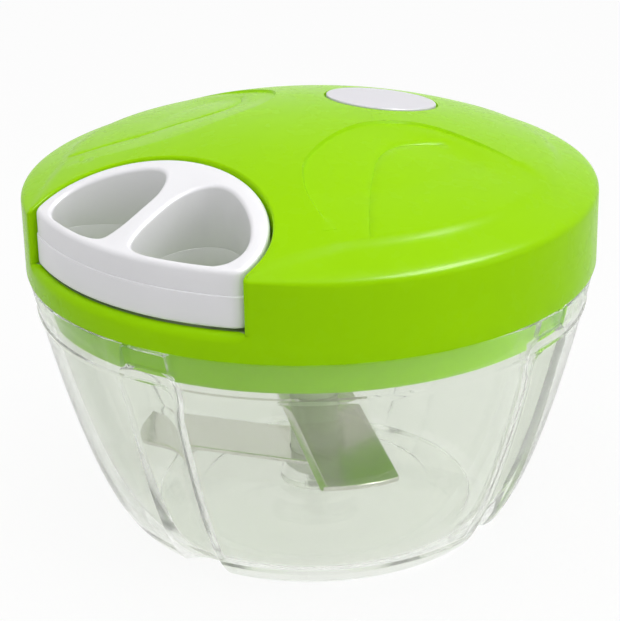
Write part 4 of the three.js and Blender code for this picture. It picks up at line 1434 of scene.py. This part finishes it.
def make_floor(sizes):
    """The pale floor. It glows where it is seen directly, and takes the dicer's shadow."""
    reach = FLOOR_REACH
    mesh = bpy.data.meshes.new("table")
    mesh.from_pydata([(-reach, -reach, 0), (reach, -reach, 0), (reach, reach, 0), (-reach, reach, 0)], [],
                     [(0, 1, 2, 3)])
    material = bpy.data.materials.new("table_white")
    material.use_nodes = True
    nodes, links = material.node_tree.nodes, material.node_tree.links
    nodes.clear()
    matt = nodes.new("ShaderNodeBsdfDiffuse")
    matt.inputs["Color"].default_value = (*sizes.floor_colour, 1)
    glow = nodes.new("ShaderNodeEmission")
    glow.inputs["Color"].default_value = (1, 1, 1, 1)
    glow.inputs["Strength"].default_value = 1
    share = nodes.new("ShaderNodeMath")
    share.operation = "MULTIPLY"
    share.inputs[1].default_value = FLOOR_GLOW
    links.new(seen_directly(nodes, links), share.inputs[0])
    mix = nodes.new("ShaderNodeMixShader")
    links.new(share.outputs[0], mix.inputs[0])
    links.new(matt.outputs[0], mix.inputs[1])
    links.new(glow.outputs[0], mix.inputs[2])
    out = nodes.new("ShaderNodeOutputMaterial")
    links.new(mix.outputs[0], out.inputs["Surface"])
    mesh.materials.append(material)
    floor = bpy.data.objects.new("table", mesh)
    bpy.context.scene.collection.objects.link(floor)


# Settings that a user would change

class DicerLidSettings(bpy.types.PropertyGroup):
    """Sizes and colours of the lid"""
    colour: FloatVectorProperty(name="Lid colour", description="Colour of the lid's plastic",
                                subtype="COLOR", size=3, min=0, max=1, default=(0.33, 0.685, 0.001))
    shoulder_width: FloatProperty(name="Shoulder width", description="Width of the slope round the dome",
                                  unit="LENGTH", default=(LID_RADIUS - CREASE_RADIUS) * MM, min=0.001)
    leaf_depth: FloatProperty(name="Leaf depth", description="Depth of the two sunken leaves",
                              unit="LENGTH", default=0.0017, min=0.0006, max=0.002)


class DicerHandleSettings(bpy.types.PropertyGroup):
    """Sizes and colours of the handle"""
    colour: FloatVectorProperty(name="Handle colour", description="Colour of the handle's plastic",
                                subtype="COLOR", size=3, min=0, max=1, default=(0.86, 0.855, 0.88))
    edge_rounding: FloatProperty(name="Edge rounding", description="Rounding of the handle's upper edge",
                                 unit="LENGTH", default=0.0012, min=0.0003, max=0.002)
    hole_rounding: FloatProperty(name="Hole rounding", description="Rounding round the finger holes",
                                 unit="LENGTH", default=0.001, min=0.0003, max=0.0014)


class DicerBowlSettings(bpy.types.PropertyGroup):
    """Sizes and colours of the bowl"""
    colour: FloatVectorProperty(name="Bowl tint", description="Tint of the clear plastic",
                                subtype="COLOR", size=3, min=0, max=1, default=(0.87, 0.895, 0.84))
    flute_depth: FloatProperty(name="Flute depth", description="How far the four flutes reach into the bowl",
                               unit="LENGTH", default=0.0034, min=0.001, max=0.004)


class DicerBladeSettings(bpy.types.PropertyGroup):
    """Sizes and colours of the blades"""
    colour: FloatVectorProperty(name="Steel colour", description="Colour of the blade steel",
                                subtype="COLOR", size=3, min=0, max=1, default=(0.72, 0.7, 0.665))
    grind_width: FloatProperty(name="Grind width", description="Width of the ground cutting edge",
                               unit="LENGTH", default=0.0012, min=0.0005, max=0.004)


class DicerStageSettings(bpy.types.PropertyGroup):
    """Light and floor of the stage"""
    floor_colour: FloatVectorProperty(name="Floor colour", description="Colour of the table",
                                      subtype="COLOR", size=3, min=0, max=1, default=(0.85, 0.85, 0.85))
    sky_light: FloatProperty(name="Sky light", description="Strength of the even light all round",
                             default=0.48, min=0)
    top_power: FloatProperty(name="Top lamp", description="Power of the lamp over the lid",
                             default=2.3, min=0, unit="POWER")
    side_power: FloatProperty(name="Side lamp", description="Power of the lamp at the right",
                              default=1.6, min=0, unit="POWER")
    glint_power: FloatProperty(name="Glint lamp", description="Power of the lamp that glints on the shoulder",
                               default=32, min=0, unit="POWER")


def finishes_of(scene):
    """The materials, made once and shared by the pieces."""
    lid = scene.dicer_lid.colour
    handle = scene.dicer_handle.colour
    recipes = {
        "green": (moulded_plastic, "green_moulded", lid, 0.26, 0.035, 0.000003),
        "base_green": (moulded_plastic, "green_base", lid, 0.34, 0.06),
        # The pocket floor is the lid's green darkened to a dull grey-green: painted shade under the handle.
        "pocket": (moulded_plastic, "pocket_floor", (0.27, 0.36, 0.16), 0.5, 0.2),
        "white": (moulded_plastic, "white_moulded", handle, 0.36, 0.4),
        "badge": (moulded_plastic, "badge_satin", (0.68, 0.67, 0.71), 0.42, 0.35),
        # The white shaft is painted a darker grey-green: painted shade for where it stands under the green
        # lid.
        "post": (moulded_plastic, "post_moulded", (0.66, 0.68, 0.61), 0.45, 0.3),
        "grey": (moulded_plastic, "grey_moulded", (0.58, 0.59, 0.56), 0.45, 0.4),
        "clear": (clear_plastic, "clear_moulded", scene.dicer_bowl.colour),
        "blade": (brushed_steel, "blade_brushed", scene.dicer_blades.colour, 0.18),
        "steel": (brushed_steel, "turned_steel", (0.6, 0.6, 0.59), 0.28, (600, 600, 900)),
        "silicone": (soft_rubber, "seal_silicone", (0.7, 0.74, 0.66)),
        "cord": (braided_cord, "cord_braid", (0.78, 0.77, 0.72)),
    }
    finishes = {}
    for key, (make, name, *looks) in recipes.items():
        finishes[key] = bpy.data.materials.get(name) or make(name, *looks)
    return finishes


# Operators

class DICER_OT_stage(bpy.types.Operator):
    """Makes the camera, the lamps, the sky and the floor"""
    bl_idname = "dicer.stage"
    bl_label = "Stage"

    def execute(self, context):
        sizes = context.scene.dicer_stage
        context.scene.view_settings.view_transform = "Standard"
        make_camera()
        make_world(sizes)
        make_floor(sizes)
        add_lamp("top_lamp", *TOP_LAMP, sizes.top_power)
        add_lamp("side_lamp", *SIDE_LAMP, sizes.side_power)
        glint = add_lamp("glint_lamp", *GLINT_LAMP, sizes.glint_power)
        glint.visible_diffuse = False
        return {"FINISHED"}


class DICER_OT_bowl(bpy.types.Operator):
    """Makes the clear bowl and its spindle"""
    bl_idname = "dicer.bowl"
    bl_label = "Bowl"

    def execute(self, context):
        make_bowl(context.scene.dicer_bowl, finishes_of(context.scene))
        return {"FINISHED"}


class DICER_OT_blades(bpy.types.Operator):
    """Makes the shaft and its three blades"""
    bl_idname = "dicer.blades"
    bl_label = "Blades"

    def execute(self, context):
        finishes = finishes_of(context.scene)
        make_post(finishes)
        for name, height, degrees in BLADES:
            make_blade(name, height, degrees, context.scene.dicer_blades.grind_width / MM, finishes)
        return {"FINISHED"}


class DICER_OT_lid(bpy.types.Operator):
    """Makes the lid cover and its badge"""
    bl_idname = "dicer.lid"
    bl_label = "Lid cover"

    def execute(self, context):
        finishes = finishes_of(context.scene)
        make_cover(context.scene.dicer_lid, finishes)
        make_badge(finishes)
        return {"FINISHED"}


class DICER_OT_base(bpy.types.Operator):
    """Makes the lid base, the seal and the lid's screws"""
    bl_idname = "dicer.base"
    bl_label = "Lid base"

    def execute(self, context):
        make_base(finishes_of(context.scene))
        return {"FINISHED"}


class DICER_OT_reel(bpy.types.Operator):
    """Makes the reel, its axle, the spring and the cord"""
    bl_idname = "dicer.reel"
    bl_label = "Reel and cord"

    def execute(self, context):
        finishes = finishes_of(context.scene)
        for make in (make_reel, make_coil, make_axle, make_spring, make_disc, make_guide, make_cord):
            make(finishes)
        return {"FINISHED"}


class DICER_OT_handle(bpy.types.Operator):
    """Makes the two shells of the handle and their screws"""
    bl_idname = "dicer.handle"
    bl_label = "Handle"

    def execute(self, context):
        make_handle(context.scene.dicer_handle, finishes_of(context.scene))
        return {"FINISHED"}


class DICER_PT_sidebar(bpy.types.Panel):
    """Lists the pieces of the dicer and their settings"""
    bl_idname = "DICER_PT_sidebar"
    bl_label = "Vegetable Dicer"
    bl_space_type = "VIEW_3D"
    bl_region_type = "UI"
    bl_category = "Dicer"

    def draw(self, context):
        scene = context.scene
        for group in ("dicer_stage", "dicer_bowl", "dicer_blades", "dicer_lid", "dicer_handle"):
            settings = getattr(scene, group)
            box = self.layout.box()
            for name in settings.__annotations__:
                box.prop(settings, name)
        for operator in OPERATORS:
            self.layout.operator(operator.bl_idname)


SETTINGS = {
    "dicer_stage": DicerStageSettings,
    "dicer_bowl": DicerBowlSettings,
    "dicer_blades": DicerBladeSettings,
    "dicer_lid": DicerLidSettings,
    "dicer_handle": DicerHandleSettings,
}
OPERATORS = [DICER_OT_stage, DICER_OT_bowl, DICER_OT_blades, DICER_OT_base, DICER_OT_reel, DICER_OT_lid,
             DICER_OT_handle]


def register():
    for kind in [*SETTINGS.values(), *OPERATORS, DICER_PT_sidebar]:
        bpy.utils.register_class(kind)
    for name, kind in SETTINGS.items():
        setattr(bpy.types.Scene, name, PointerProperty(type=kind))


def unregister():
    for name in SETTINGS:
        delattr(bpy.types.Scene, name)
    for kind in reversed([*SETTINGS.values(), *OPERATORS, DICER_PT_sidebar]):
        bpy.utils.unregister_class(kind)


def main():
    register()
    bpy.ops.dicer.stage()
    bpy.ops.dicer.bowl()
    bpy.ops.dicer.blades()
    bpy.ops.dicer.base()
    bpy.ops.dicer.reel()
    bpy.ops.dicer.lid()
    bpy.ops.dicer.handle()


if __name__ == "__main__":
    main()
